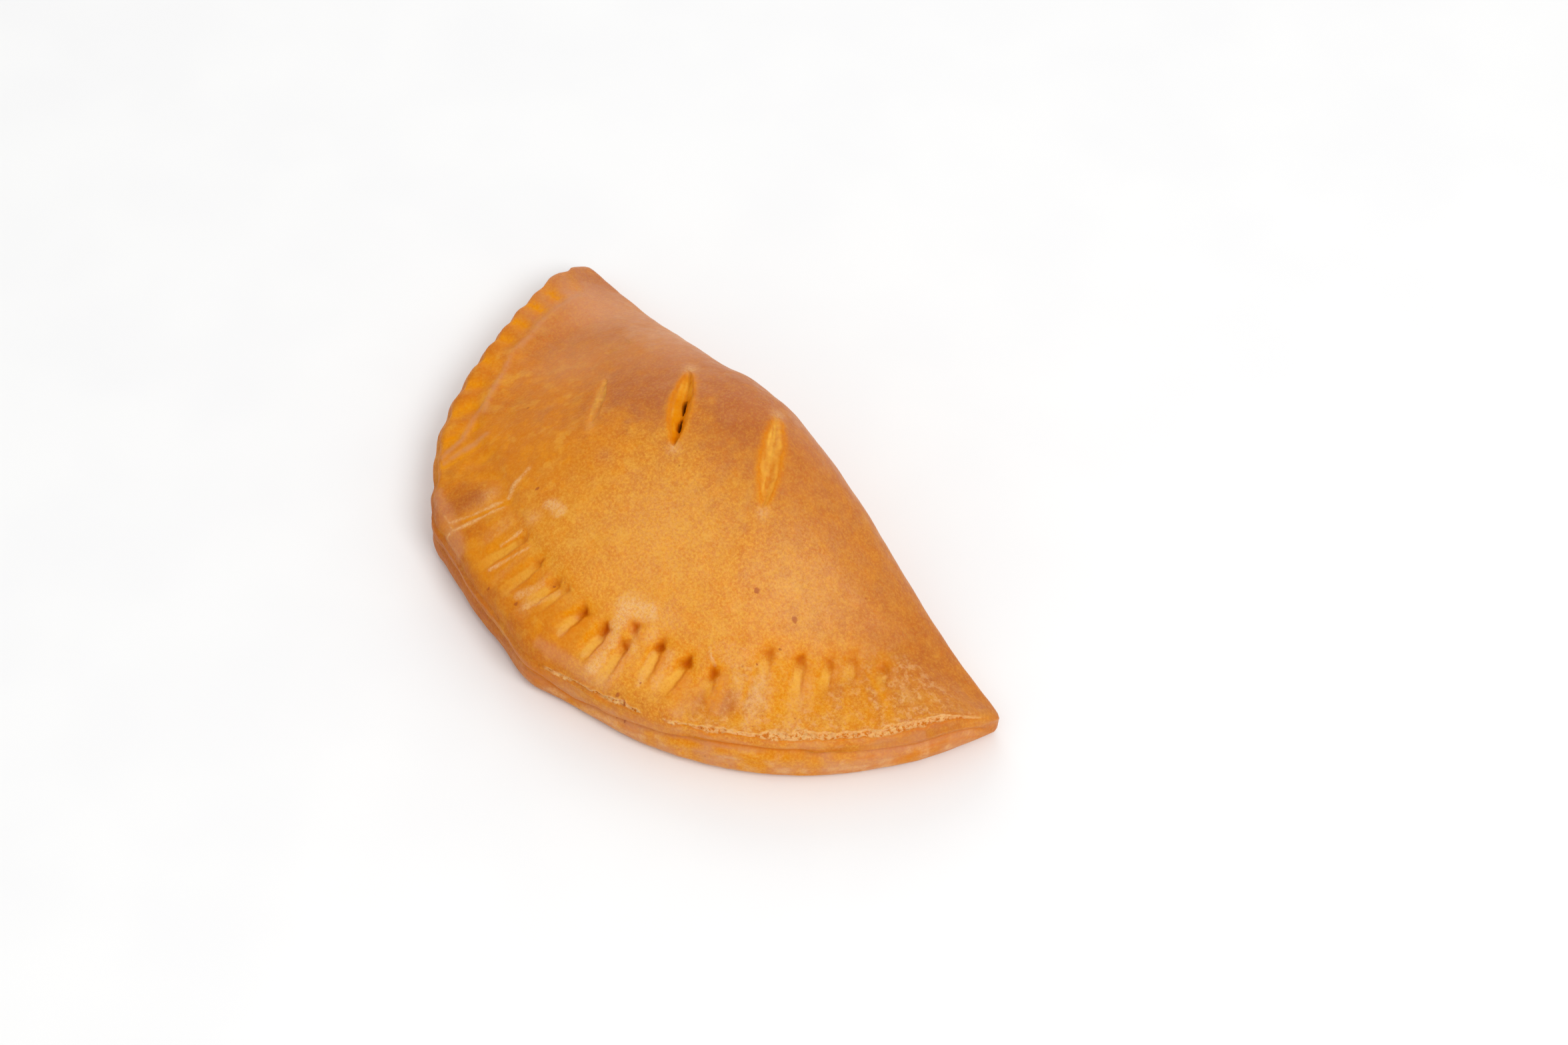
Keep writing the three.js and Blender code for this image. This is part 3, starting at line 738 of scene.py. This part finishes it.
def open_seam(relief):
    """The groove between the layers: steep under the upper one and easy on the lower one, with painted shadow
    under the upper one's lip.
    """
    off = relief.up - relief.seam + relief.noise((0.25, 7, 35))
    above, below = SEAM_FALLS
    groove = np.where(off > 0, hump(off, above), hump(off, below)) * relief.on_rim
    relief.depth += between(SEAM_DEPTH, relief.share) * groove
    front = relief.on_rim * smooth(relief.share, 0.5, 0.6)
    # Painted shadow under the upper layer's lip, a dark painted line of shade along it, and painted shade
    # beside it.
    relief.paint("seam", hump(off + 0.1, 0.55) * front)
    relief.paint("line", 0.5 * hump(off - 0.1, 0.35) * front)
    relief.paint("ember_and_shade", 0.6 * hump(off - 0.6, 0.7) * front)
    broken = np.clip(0.75 + relief.noise((0.9, 6, 55), (0.5, 1.6, 56)), 0, 1)
    # Painted sheen: a mauve line along the lip just over the seam.
    relief.paint("sheen_line", 0.75 * hump(off + 0.95, 0.4) * front * broken * smooth(relief.share, 0.56, 0.66))
    middle = mix(relief.seam, relief.tear, 0.5)
    half = 0.5 * (relief.tear - relief.seam)
    bead = hump(relief.up - middle, np.maximum(0.55 * half, 0.4)) * front
    relief.depth -= BEAD_HEIGHT * bead
    # Painted highlight along the middle of the bead.
    relief.paint("sheen_line", 0.5 * bead * smooth(broken, 0.2, 0.9))
    left = window(relief.share, 0.5, 0.56, 0.62, 0.7) * relief.on_rim
    # Painted sheen along the lip's edge on the left.
    relief.paint("sheen_line", 0.5 * hump(off - 1.0, 0.5) * left)


def stretch_layers(relief):
    """Low ridges along the side of the rim, where the rolled dough shows its layers."""
    shortened = 0.12 * relief.along
    layers = skin_noise(shortened, relief.up, 1.1, 48) + 0.5 * skin_noise(shortened, relief.up, 0.5, 49)
    side = (1 - smooth(relief.up, 0.5, 3)) * relief.outside * smooth(relief.points[:, 2], 0.3, 1.5)
    relief.depth += LAYER_DEPTH * layers * side
    relief.paint("ember_and_shade", 0.6 * (layers - 0.25) * side)
    relief.paint("pale", 0.3 * (-layers - 0.4) * side)


def tear_skin(relief):
    """The torn edge of the top skin: a ragged step of pale crumb with the skin lifting above it, and painted
    shade just below it.
    """
    ragged = relief.noise((0.35, 5, 36), (0.3, 1.7, 37), (0.2, 0.7, 38))
    off = relief.up - relief.tear + ragged
    uneven = np.clip(1 + relief.noise((0.9, 6, 39), (0.8, 2, 40)), 0.3, 2.2)
    half = 0.5 * between(TEAR_WIDTH, relief.share) * uneven
    there = smooth(half, 0.03, 0.12) * relief.on_rim
    tear = (1 - smooth(np.abs(off), 0.8 * half, half + 0.14)) * there
    crumbs = 1 + relief.noise((0.6, 0.8, 41), (0.4, 0.45, 62))
    lifted = hump(off - half - 0.3, 0.3) * there
    relief.depth += TEAR_DEPTH * tear * crumbs * smooth(half, 0.1, 0.5) - TEAR_LIFT * lifted
    relief.paint("tear", 0.85 * tear)
    relief.paint("pale", 0.9 * hump(off - half - 0.15, 0.25) * there)
    # Painted shade just below the torn edge.
    relief.paint("ember_and_shade", 0.6 * hump(off + half + 0.2, 0.3) * there)


def cut_slits(relief):
    wobble = relief.noise((0.3, 2.4, 42), (0.15, 0.9, 43))
    for slit in SLITS:
        along, across, half = slit_coordinates(relief.points, **slit)
        cut_slit(relief, along, across + wobble, np.maximum(half, 1e-3), **slit)


def cut_slit(relief, along, across, half, length, width, depth, deepest, wall, dough, outline, gaps, **_):
    """A stretched cut with fibrous walls, deepest a little to one side."""
    fibres = skin_noise(0.15 * along, across, 0.5, 63) + relief.noise((0.4, 0.6, 64))
    bottom = deepest * half
    near_side = (across + half) / (bottom + half)
    far_side = (half - across) / (half - bottom)
    slope = np.clip(np.minimum(near_side, far_side), 0, 1) * relief.on_top
    narrow = smooth(half, 0.1, 0.25 * width)
    cut = smooth(slope, 0, 0.4) * narrow
    from_edge = np.abs(across) - half
    rim = narrow * relief.on_top
    relief.depth += depth * slope**0.8 * narrow + FIBRE_DEPTH * fibres * cut
    relief.depth -= SLIT_LIP * min(1, depth) * hump(from_edge - 0.5, 0.6) * rim
    relief.paint("wall", wall * cut)
    relief.paint("scar", cut * (dough + 0.6 * wall * smooth(-along, 1, 7)) * (0.8 - 0.6 * fibres))
    relief.paint("scar", 0.8 * outline * cut * (-fibres - 0.1))
    relief.paint("ember_and_shade", outline * cut * fibres)
    # Painted shade on the far wall of the cut.
    relief.paint("ember_and_shade", 0.9 * wall * cut * smooth(across - bottom, 0, 0.8) * smooth(along, -6, 0))
    relief.paint("glow", outline * hump(from_edge, 0.9) * rim)
    relief.paint("ember_and_shade", 0.5 * outline * hump(from_edge, 0.5) * rim)
    at_end = hump(np.abs(along) - length / 2, 2) * hump(across, 0.35 * width)
    relief.paint("pale", 0.8 * outline * at_end * relief.on_top)
    for gap in gaps:
        open_gap(relief, along, across - bottom, *gap)


def open_gap(relief, along, across, middle, reach, gap_half):
    """A ragged hole where a slit opens into the pocket, painted dark as the shade inside it."""
    taper = np.clip(1 - ((along - middle) / reach) ** 2, 0, 1)
    width = gap_half * np.sqrt(taper) * (1 + relief.noise((0.5, 0.8, 65)))
    inside = (1 - smooth(np.abs(across), 0.7 * width, width + 0.12)) * (taper > 0) * relief.on_top
    relief.depth += GAP_DEPTH * inside
    # Painted shade inside the pocket.
    relief.paint("gap", inside)
    # Painted shade round the opening.
    shade = hump(across, 2 * gap_half) * hump(along - middle, reach + 0.6)
    relief.paint("pit", 0.7 * shade * relief.on_top)


def paint_streaks(relief):
    """Yellow and powdery streaks that the fork drew outwards over the pressed rim."""
    drift = relief.noise((0.8, 6, 46))
    streaks = skin_noise(relief.along + drift, 0.12 * relief.inward, STREAK_SIZE, 47)
    reach = between(PRESS_REACH, relief.share)
    there = window(relief.inward, 1, 5, 0.75 * reach, reach + 2) * relief.flange
    for *stretch, strength in STREAK_RUNS:
        run = window(relief.share, *stretch) * there * strength
        relief.depth += STREAK_DEPTH * streaks * run
        relief.paint("glow", 1.4 * (streaks - 0.1) * run)
        relief.paint("pale", 0.9 * (-streaks - 0.15) * run)


def in_plan(places):
    """Places along the rim, with their radius and strength, as places in plan."""
    return [(*plan_point(share, inward), radius, amount) for share, inward, radius, amount in places]


def colour_places(relief):
    """Browner and paler places of the crust, and pinkish places of painted sheen."""
    x, y, z = relief.points.T
    share = relief.share
    wobble = 1 + relief.noise((0.25, 4, 44), (0.2, 1.6, 45))

    def patch(px, py, radius, amount):
        return amount * hump(np.hypot(x - px, y - py) * wobble, radius)

    brown = 0.42 * smooth(y, -34, 4) * relief.on_top
    for place in (*BROWNED, *in_plan(RIM_BROWNED)):
        brown = brown + patch(*place) * relief.on_top
    edge = 1 - smooth(relief.up, *EDGE_BROWNED_RUN)
    brown = np.maximum(brown, edge * between(EDGE_BROWNED, share) * relief.on_rim)
    below = smooth(relief.seam - relief.up, -0.5, 1) * relief.on_rim
    brown = np.maximum(brown, LOBE_BROWNED * below * (1 - smooth(share, 0.58, 0.66)))
    baked = 0.65 + relief.noise((0.3, 16, 60), (0.2, 7, 61))
    brown = np.maximum(brown, baked * smooth(y, -8, 9) * relief.outside)
    relief.paint("brown", brown)
    for place in (*PALER, *in_plan(RIM_PALER)):
        relief.paint("pale", patch(*place) * relief.on_top)
    # Pinkish painted sheen, fading out low down.
    for place in ROSY_SHEEN_PLACES:
        relief.paint("rosy_sheen", patch(*place) * smooth(z, 1, 14) * relief.outside)
    relief.paint("ripe", smooth(-x, -12, 40) * smooth(-y, -12, 16) * relief.on_top)
    left_front = window(share, 0.3, 0.38, 0.57, 0.63) * relief.on_rim
    relief.paint("ripe", 0.8 * left_front * (1 - smooth(relief.inward, 7, 17)))
    relief.paint("under", 1 - relief.outside)


def colour_front(relief):
    """Patches of the lower layer in front, some of them pinkish painted sheen, and powdery crust over the
    tear.
    """
    lower = smooth(relief.seam - relief.up, 0, 1.5) * relief.on_rim
    lower *= smooth(relief.share, 0.5, 0.6) * smooth(relief.points[:, 2], 0.2, 1)
    patches = relief.noise((1, 6, 52), (0.6, 2.2, 57))
    pale = relief.noise((1, 2.6, 58), (0.5, 1, 59))
    near_end = smooth(relief.share, 0.84, 0.93)
    # Pinkish painted sheen on the lower layer, more of it near the right end.
    relief.paint("rosy_sheen", LOWER_ROSY_SHEEN * lower * np.clip(0.5 + 0.6 * near_end - patches, 0, 1))
    relief.paint("glow", LOWER_GLOW * lower * np.clip(0.4 - 0.5 * near_end + patches, 0, 1))
    relief.paint("pale", LOWER_PALE * lower * smooth(pale, 0.1, 0.5))
    powdery = smooth(relief.share, 0.66, 0.78) * (1 - smooth(relief.inward, 16, 26))
    relief.paint("powder", powdery * smooth(relief.up - relief.tear, 0, 1.5) * relief.flange)


def scallop(relief):
    """How far the rim's outline dips in at the soft marks."""
    across = np.zeros(len(relief.points))
    for _, outer, half, _ in SOFT_MARKS:
        across += hump(relief.along - outer[0] * RIM_LENGTH, 1.3 * half)
    low, high, rest = SCALLOP_END
    amount = mix(1, rest, smooth(relief.share, low, high))
    fade = smooth(SCALLOP_RUN - relief.inward, 0, SCALLOP_RUN)
    return SCALLOP_DEPTH * across * amount * fade * relief.on_rim


def shape_skin(mesh):
    """Moves the vertices by the relief and writes the masks that the crust is coloured by."""
    points, normals, place = read_vertices(mesh)
    relief = Relief(points, place)
    press_rim(relief)
    press_soft_marks(relief)
    press_fork_marks(relief)
    # The raised ridges are coloured with painted sheen over a slightly browner crust.
    raise_lines(relief, CREASES, "sheen_line", 0.7)
    raise_lines(relief, WRINKLES, "pale", 0.95)
    paint_strokes(relief)
    open_seam(relief)
    stretch_layers(relief)
    tear_skin(relief)
    cut_slits(relief)
    paint_streaks(relief)
    colour_places(relief)
    colour_front(relief)
    swell = sum(h * np.sin(points[:, 0] * a + points[:, 1] * b + p) for h, a, b, p in SWELLS)
    swell = swell * smooth(relief.inward, 4, 18) * relief.on_top
    lumps = relief.noise(*LUMPS)
    out = swell + lumps * relief.outside - relief.depth
    moved = points + normals * out[:, None]
    level = np.hypot(normals[:, 0], normals[:, 1])
    moved[:, :2] -= normals[:, :2] * (scallop(relief) * level)[:, None]
    moved[:, 2] = np.maximum(moved[:, 2], 0)
    for name in PLACES:
        mesh.attributes.remove(mesh.attributes[name])
    for name, values in relief.masks.items():
        write_layer(mesh, name, values)
    return points, moved


def set_on_frame(mesh, points, moved):
    """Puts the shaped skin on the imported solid's box, in metres."""
    low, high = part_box(NODE)
    middle = (points.min(axis=0) + points.max(axis=0)) / 2
    middle[2] = 0
    offset = np.array(((low.x + high.x) / 2, (low.y + high.y) / 2, low.z)) - middle * MM
    mesh.vertices.foreach_set("co", (moved * MM + offset).astype(np.float32).ravel())
    mesh.update()
    return Vector(offset)


# Materials.

GOLDEN = (0.69, 0.252, 0.006)
ORANGE = (0.62, 0.172, 0.002)
BROWN = (0.42, 0.098, 0.010)
PALE = (0.75, 0.345, 0.035)
GRAIN = (0.81, 0.40, 0.045)
DOUGH = (0.78, 0.46, 0.20)
FLOOR = (0.83, 0.41, 0.045)
GLOW = (0.73, 0.245, 0.0003)
# Deep orange of stretched dough, also laid as painted shade on far walls, round pits, at the seam and below
# the torn edge.
EMBER_AND_SHADE = (0.65, 0.165, 0.0002)
# Painted shade in the fork pits and round the open gaps.
PIT_SHADE = (0.50, 0.095, 0.0002)
# Painted sheen: mauve light along ridges and on the lip over the seam.
SHEEN_LINE = (0.60, 0.25, 0.10)
# Painted sheen: the pinkish mauve of a browner crust reflecting the bright surroundings.
ROSY_SHEEN = (0.62, 0.26, 0.12)
CRUMB = (0.82, 0.48, 0.18)
SPECK = (0.36, 0.07, 0.01)
# Painted shade inside the open slits.
GAP_SHADE = (0.10, 0.006, 0.0005)
UNDERSIDE = (0.42, 0.13, 0.02)
SPECK_RAGGED = 0.7
PORE_SPACING = 4.5
PORE_SHARES = (0.03, 0.075)
GRAIN_BUMP = 0.13
SWELL_BUMP = 0.22
CRUMB_BUMP = 0.3
ROUGHNESS = (0.36, 0.5)
SHEEN = 0.22
SUBSURFACE = 0.22
SUBSURFACE_RADIUS = (0.0024, 0.0010, 0.0003)


class Shader:
    """A small helper that adds and links the nodes of one material."""

    def __init__(self, name):
        self.material = bpy.data.materials.new(name)
        self.material.use_nodes = True
        self.tree = self.material.node_tree
        self.tree.nodes.clear()

    def node(self, kind, **settings):
        made = self.tree.nodes.new("ShaderNode" + kind)
        for name, value in settings.items():
            setattr(made, name, value)
        return made

    def fill(self, sockets, values):
        """Sets or links sockets one by one."""
        for socket, value in zip(sockets, values):
            if isinstance(value, bpy.types.NodeSocket):
                self.tree.links.new(value, socket)
            elif isinstance(value, tuple) and socket.type == "RGBA":
                socket.default_value = (*value, 1)
            else:
                socket.default_value = value

    def put(self, node, **inputs):
        """Sets or links inputs, by their names with underscores for spaces."""
        self.fill([node.inputs[name.replace("_", " ")] for name in inputs], inputs.values())
        return node

    def place(self):
        return self.node("TexCoord").outputs["Object"]

    def noise(self, size_mm, detail, roughness):
        made = self.node("TexNoise")
        self.put(made, Vector=self.place(), Scale=1 / (size_mm * MM), Detail=detail, Roughness=roughness)
        return made.outputs["Fac"]

    def mask(self, name):
        return self.node("Attribute", attribute_name=name).outputs["Fac"]

    def remap(self, value, low, high, out_low=0.0, out_high=1.0):
        made = self.node("MapRange", interpolation_type="SMOOTHSTEP")
        self.put(made, Value=value, From_Min=low, From_Max=high, To_Min=out_low, To_Max=out_high)
        return made.outputs["Result"]

    def math(self, operation, a, b):
        made = self.node("Math", operation=operation)
        self.fill(made.inputs, (a, b))
        return made.outputs[0]

    def times(self, a, b):
        return self.math("MULTIPLY", a, b)

    def highest(self, first, *others):
        for other in others:
            first = self.math("MAXIMUM", first, other)
        return first

    def blend(self, factor, a, b):
        made = self.node("Mix", data_type="RGBA", clamp_factor=True)
        self.fill((made.inputs[0], made.inputs[6], made.inputs[7]), (factor, a, b))
        return made.outputs[2]

    def lay(self, colour, name, tone, strength=1.0):
        """A tone laid over a colour where a mask says so."""
        return self.blend(self.times(self.mask(name), strength), colour, tone)

    def mottle(self, colour, tone, grain, low, high, most):
        """A tone laid over a colour in patches; the grain is the size, detail and roughness of its noise."""
        return self.blend(self.remap(self.noise(*grain), low, high, 0, most), colour, tone)

    def spot(self, x_mm, y_mm, radius_mm, ragged):
        """A ragged spot seen from above, in metres of the frame."""
        flat = self.node("VectorMath", operation="MULTIPLY")
        self.fill(flat.inputs, (self.place(), (1, 1, 0)))
        apart = self.node("VectorMath", operation="DISTANCE")
        self.fill(apart.inputs, (flat.outputs[0], (x_mm * MM, y_mm * MM, 0)))
        distance = self.math("ADD", apart.outputs["Value"], ragged)
        return self.remap(distance, 0.5 * radius_mm * MM, radius_mm * MM, 1.0, 0.0)

    def finish(self, surface):
        out = self.node("OutputMaterial")
        self.tree.links.new(surface, out.inputs["Surface"])
        return self.material


def baked_colour(sh, middle, broad, fine, grainy):
    """Egg wash mottled at several sizes, browner and paler where the masks say so, with pinkish painted sheen
    laid over it.
    """
    colour = sh.blend(sh.remap(broad, 0.38, 0.62, 0, 0.55), GOLDEN, ORANGE)
    colour = sh.blend(sh.remap(middle, 0.48, 0.66, 0, 0.6), colour, ORANGE)
    colour = sh.mottle(colour, EMBER_AND_SHADE, (5.5, 3, 0.5), 0.5, 0.66, 0.25)
    colour = sh.lay(colour, "ripe", ORANGE)
    colour = sh.mottle(colour, GLOW, (3.3, 4, 0.6), 0.5, 0.62, 0.6)
    colour = sh.mottle(colour, PALE, (4.2, 4, 0.6), 0.52, 0.66, 0.5)
    uneven = sh.times(sh.math("SUBTRACT", middle, 0.5), 0.9)
    brown = sh.mask("brown")
    colour = sh.blend(sh.math("ADD", brown, sh.times(uneven, sh.remap(brown, 0, 0.3))), colour, BROWN)
    # Pinkish painted sheen.
    colour = sh.lay(colour, "rosy_sheen", ROSY_SHEEN)
    colour = sh.lay(colour, "pale", DOUGH, grainy)
    colour = sh.lay(colour, "powder", DOUGH, sh.remap(sh.noise(1.5, 5, 0.7), 0.46, 0.66, 0, 0.55))
    glowing = sh.remap(sh.noise(1.3, 4, 0.65), 0.35, 0.6, 0.55, 1.0)
    colour = sh.lay(colour, "glow", GLOW, sh.times(glowing, sh.remap(sh.mask("pale"), 0.1, 0.8, 1.0, 0.25)))
    calm = sh.remap(sh.highest(brown, sh.mask("rosy_sheen"), sh.mask("ripe")), 0, 0.8, 1.0, 0.35)
    colour = sh.blend(sh.times(sh.remap(fine, 0.41, 0.66, 0, 0.7), calm), colour, GRAIN)
    return sh.blend(sh.remap(fine, 0.47, 0.32, 0, 0.35), colour, EMBER_AND_SHADE)


def marked_colour(sh, colour, middle, grainy):
    """The walls and floors of marks and slits, the creases with painted sheen, painted shade on far walls and
    in pits, painted shadow at the seam, and the torn crumb.
    """
    colour = sh.lay(colour, "wall", GLOW, 0.95)
    # Deep orange dough, and painted shade on far walls, round pits, at the seam and below the torn edge.
    colour = sh.lay(colour, "ember_and_shade", EMBER_AND_SHADE, 0.9)
    colour = sh.lay(colour, "floor", FLOOR, sh.remap(grainy, 0.3, 1, 0.65, 1))
    colour = sh.lay(colour, "scar", FLOOR, sh.remap(middle, 0.35, 0.6, 0.5, 1))
    # Painted sheen along the ridges and the lip.
    colour = sh.lay(colour, "sheen_line", SHEEN_LINE, sh.remap(middle, 0.35, 0.6, 0.45, 1))
    # Painted shadow under the seam's lip, and the dark painted lines of shade at seams and far walls.
    colour = sh.lay(colour, "seam", EMBER_AND_SHADE)
    colour = sh.lay(colour, "line", EMBER_AND_SHADE)
    # Painted shade in the pits.
    colour = sh.lay(colour, "pit", PIT_SHADE)
    return sh.lay(colour, "tear", sh.mottle(ORANGE, CRUMB, (0.9, 5, 0.7), 0.4, 0.54, 1))


def speckled_colour(sh, colour, broad, offset):
    """Brown specks at their places and a scatter of pores."""
    ragged = sh.times(sh.math("SUBTRACT", sh.noise(0.5, 2, 0.5), 0.5), SPECK_RAGGED * MM)
    for rim_share, inward, radius in RIM_SPECKS:
        x, y = plan_point(rim_share, inward)
        spot = sh.spot(x + offset.x / MM, y + offset.y / MM, radius, ragged)
        colour = sh.blend(sh.times(spot, 0.7), colour, SPECK)
    cells = sh.node("TexVoronoi")
    sh.put(cells, Vector=sh.place(), Scale=1 / (PORE_SPACING * MM), Randomness=1.0)
    distance = sh.math("ADD", cells.outputs["Distance"], sh.times(ragged, 60.0))
    pores = sh.times(sh.remap(distance, *PORE_SHARES, 1, 0), sh.remap(broad, 0.45, 0.6, 0, 0.6))
    return sh.blend(sh.times(pores, sh.math("SUBTRACT", 1.0, sh.mask("under"))), colour, SPECK)


def crust_colour(sh, offset):
    fine = sh.noise(0.62, 5, 0.75)
    middle = sh.noise(2.6, 4, 0.62)
    broad = sh.noise(9, 3, 0.5)
    grainy = sh.remap(sh.noise(0.6, 5, 0.8), 0.42, 0.56, 0.4, 1.0)
    colour = baked_colour(sh, middle, broad, fine, grainy)
    colour = marked_colour(sh, colour, middle, grainy)
    colour = speckled_colour(sh, colour, broad, offset)
    # Painted shade inside the open slits.
    colour = sh.lay(colour, "gap", GAP_SHADE)
    return sh.lay(colour, "under", UNDERSIDE)


def crust_bump(sh):
    """Grain of the crust, coarser on the torn crumb."""
    grain = sh.times(sh.noise(0.7, 5, 0.62), GRAIN_BUMP * MM)
    swells = sh.times(sh.noise(2.6, 3, 0.5), SWELL_BUMP * MM)
    rough = sh.highest(sh.mask("tear"), sh.times(sh.mask("powder"), 0.4))
    crumbs = sh.times(sh.times(sh.noise(0.8, 4, 0.7), rough), CRUMB_BUMP * MM)
    height = sh.math("ADD", sh.math("ADD", grain, swells), crumbs)
    bump = sh.node("Bump")
    sh.put(bump, Height=height, Strength=1.0, Distance=1.0)
    return bump.outputs["Normal"]


def crust_material(offset):
    sh = Shader("egg_washed_crust")
    colour = crust_colour(sh, offset)
    roughness = sh.remap(sh.noise(2.5, 3, 0.5), 0.3, 0.7, *ROUGHNESS)
    roughness = sh.math("ADD", roughness, sh.times(sh.mask("tear"), 0.35))
    ripe = sh.times(sh.mask("ripe"), 0.85)
    hollow = sh.highest(sh.mask("glow"), sh.mask("ember_and_shade"), sh.mask("wall"), ripe)
    sheen = sh.times(sh.math("SUBTRACT", 1.0, sh.times(hollow, 0.9)), SHEEN)
    shader = sh.node("BsdfPrincipled")
    sh.put(shader, Base_Color=colour, Roughness=roughness, Normal=crust_bump(sh), Specular_IOR_Level=sheen)
    sh.put(shader, Subsurface_Weight=SUBSURFACE, Subsurface_Radius=SUBSURFACE_RADIUS, Subsurface_Scale=1.0)
    return sh.finish(shader.outputs[0])


def floor_material():
    sh = Shader("pale_floor")
    tone = sh.blend(sh.remap(sh.noise(40, 2, 0.5), 0.3, 0.7), (0.88, 0.88, 0.88), (0.9, 0.9, 0.895))
    shader = sh.node("BsdfPrincipled")
    sh.put(shader, Base_Color=tone, Roughness=0.8)
    return sh.finish(shader.outputs[0])


# Stage, light and camera.

CAMERA_AZIMUTH = math.radians(55.168)
CAMERA_ELEVATION = math.radians(50.0)
CAMERA_DISTANCE = 0.7129
FOCAL_PIXELS = 4865
IMAGE_WIDTH = 2352
IMAGE_HEIGHT = 1568
LOOK_HEIGHT = 0.015
LOOK_PIXEL = (1138.8, 696.8)
FLOOR_HALF_WIDTH = 3.0
LIGHT_TARGET = (0, 0, 0.02)
WORLD_STRENGTH = 0.74
LIGHTS = (
    {"name": "key", "place": (0.75, 0.0, 0.85), "size": 0.55, "power": 5.5},
    {"name": "back", "place": (-0.85, 0.45, 0.5), "size": 0.8, "power": 2.2},
)


def add_object(name, data):
    made = bpy.data.objects.new(name, data)
    bpy.context.scene.collection.objects.link(made)
    return made


def make_floor():
    side = FLOOR_HALF_WIDTH
    corners = [(-side, -side, 0), (side, -side, 0), (side, side, 0), (-side, side, 0)]
    mesh = bpy.data.meshes.new("floor")
    mesh.from_pydata(corners, [], [(0, 1, 2, 3)])
    mesh.materials.append(floor_material())
    floor = add_object("floor", mesh)


def make_light(name, place, size, power):
    data = bpy.data.lights.new(name, "AREA")
    data.shape = "DISK"
    data.size = size
    data.energy = power
    light = add_object(name, data)
    light.location = place
    light.rotation_euler = (Vector(LIGHT_TARGET) - Vector(place)).to_track_quat("-Z", "Y").to_euler()


def make_world():
    world = bpy.data.worlds.new("studio")
    bpy.context.scene.world = world
    world.use_nodes = True
    background = world.node_tree.nodes["Background"]
    background.inputs["Color"].default_value = (1, 1, 1, 1)
    background.inputs["Strength"].default_value = WORLD_STRENGTH


def make_camera(offset):
    """Stands where the middle of the half moon's frame lands on its pixel of the photograph."""
    a = CAMERA_AZIMUTH
    e = CAMERA_ELEVATION
    back = Vector((math.sin(a) * math.cos(e), -math.cos(a) * math.cos(e), math.sin(e)))
    right = Vector((math.cos(a), math.sin(a), 0))
    up = back.cross(right)
    look = Vector((offset.x, offset.y, LOOK_HEIGHT))
    to_right = IMAGE_WIDTH / 2 - LOOK_PIXEL[0]
    to_down = IMAGE_HEIGHT / 2 - LOOK_PIXEL[1]
    ahead = (right * to_right - up * to_down - back * FOCAL_PIXELS).normalized()
    side = ahead.cross(up).normalized()
    turn = Matrix((side, side.cross(ahead), -ahead)).transposed()
    data = bpy.data.cameras.new("camera")
    data.sensor_width = 36
    data.lens = data.sensor_width * FOCAL_PIXELS / IMAGE_WIDTH
    camera = add_object("camera", data)
    camera.matrix_world = Matrix.Translation(look + back * CAMERA_DISTANCE) @ turn.to_4x4()
    bpy.context.scene.camera = camera


def main():
    points, places, faces = build_skin()
    mesh = make_mesh(points, places, faces)
    smooth_points, moved = shape_skin(mesh)
    offset = set_on_frame(mesh, smooth_points, moved)
    mesh.materials.append(crust_material(offset))
    pocket = add_object("baked_pocket", mesh)
    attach(pocket, BODY)
    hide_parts(NODE)
    make_floor()
    make_world()
    for light in LIGHTS:
        make_light(**light)
    make_camera(offset)
    bpy.context.scene.view_settings.view_transform = "Standard"


main()
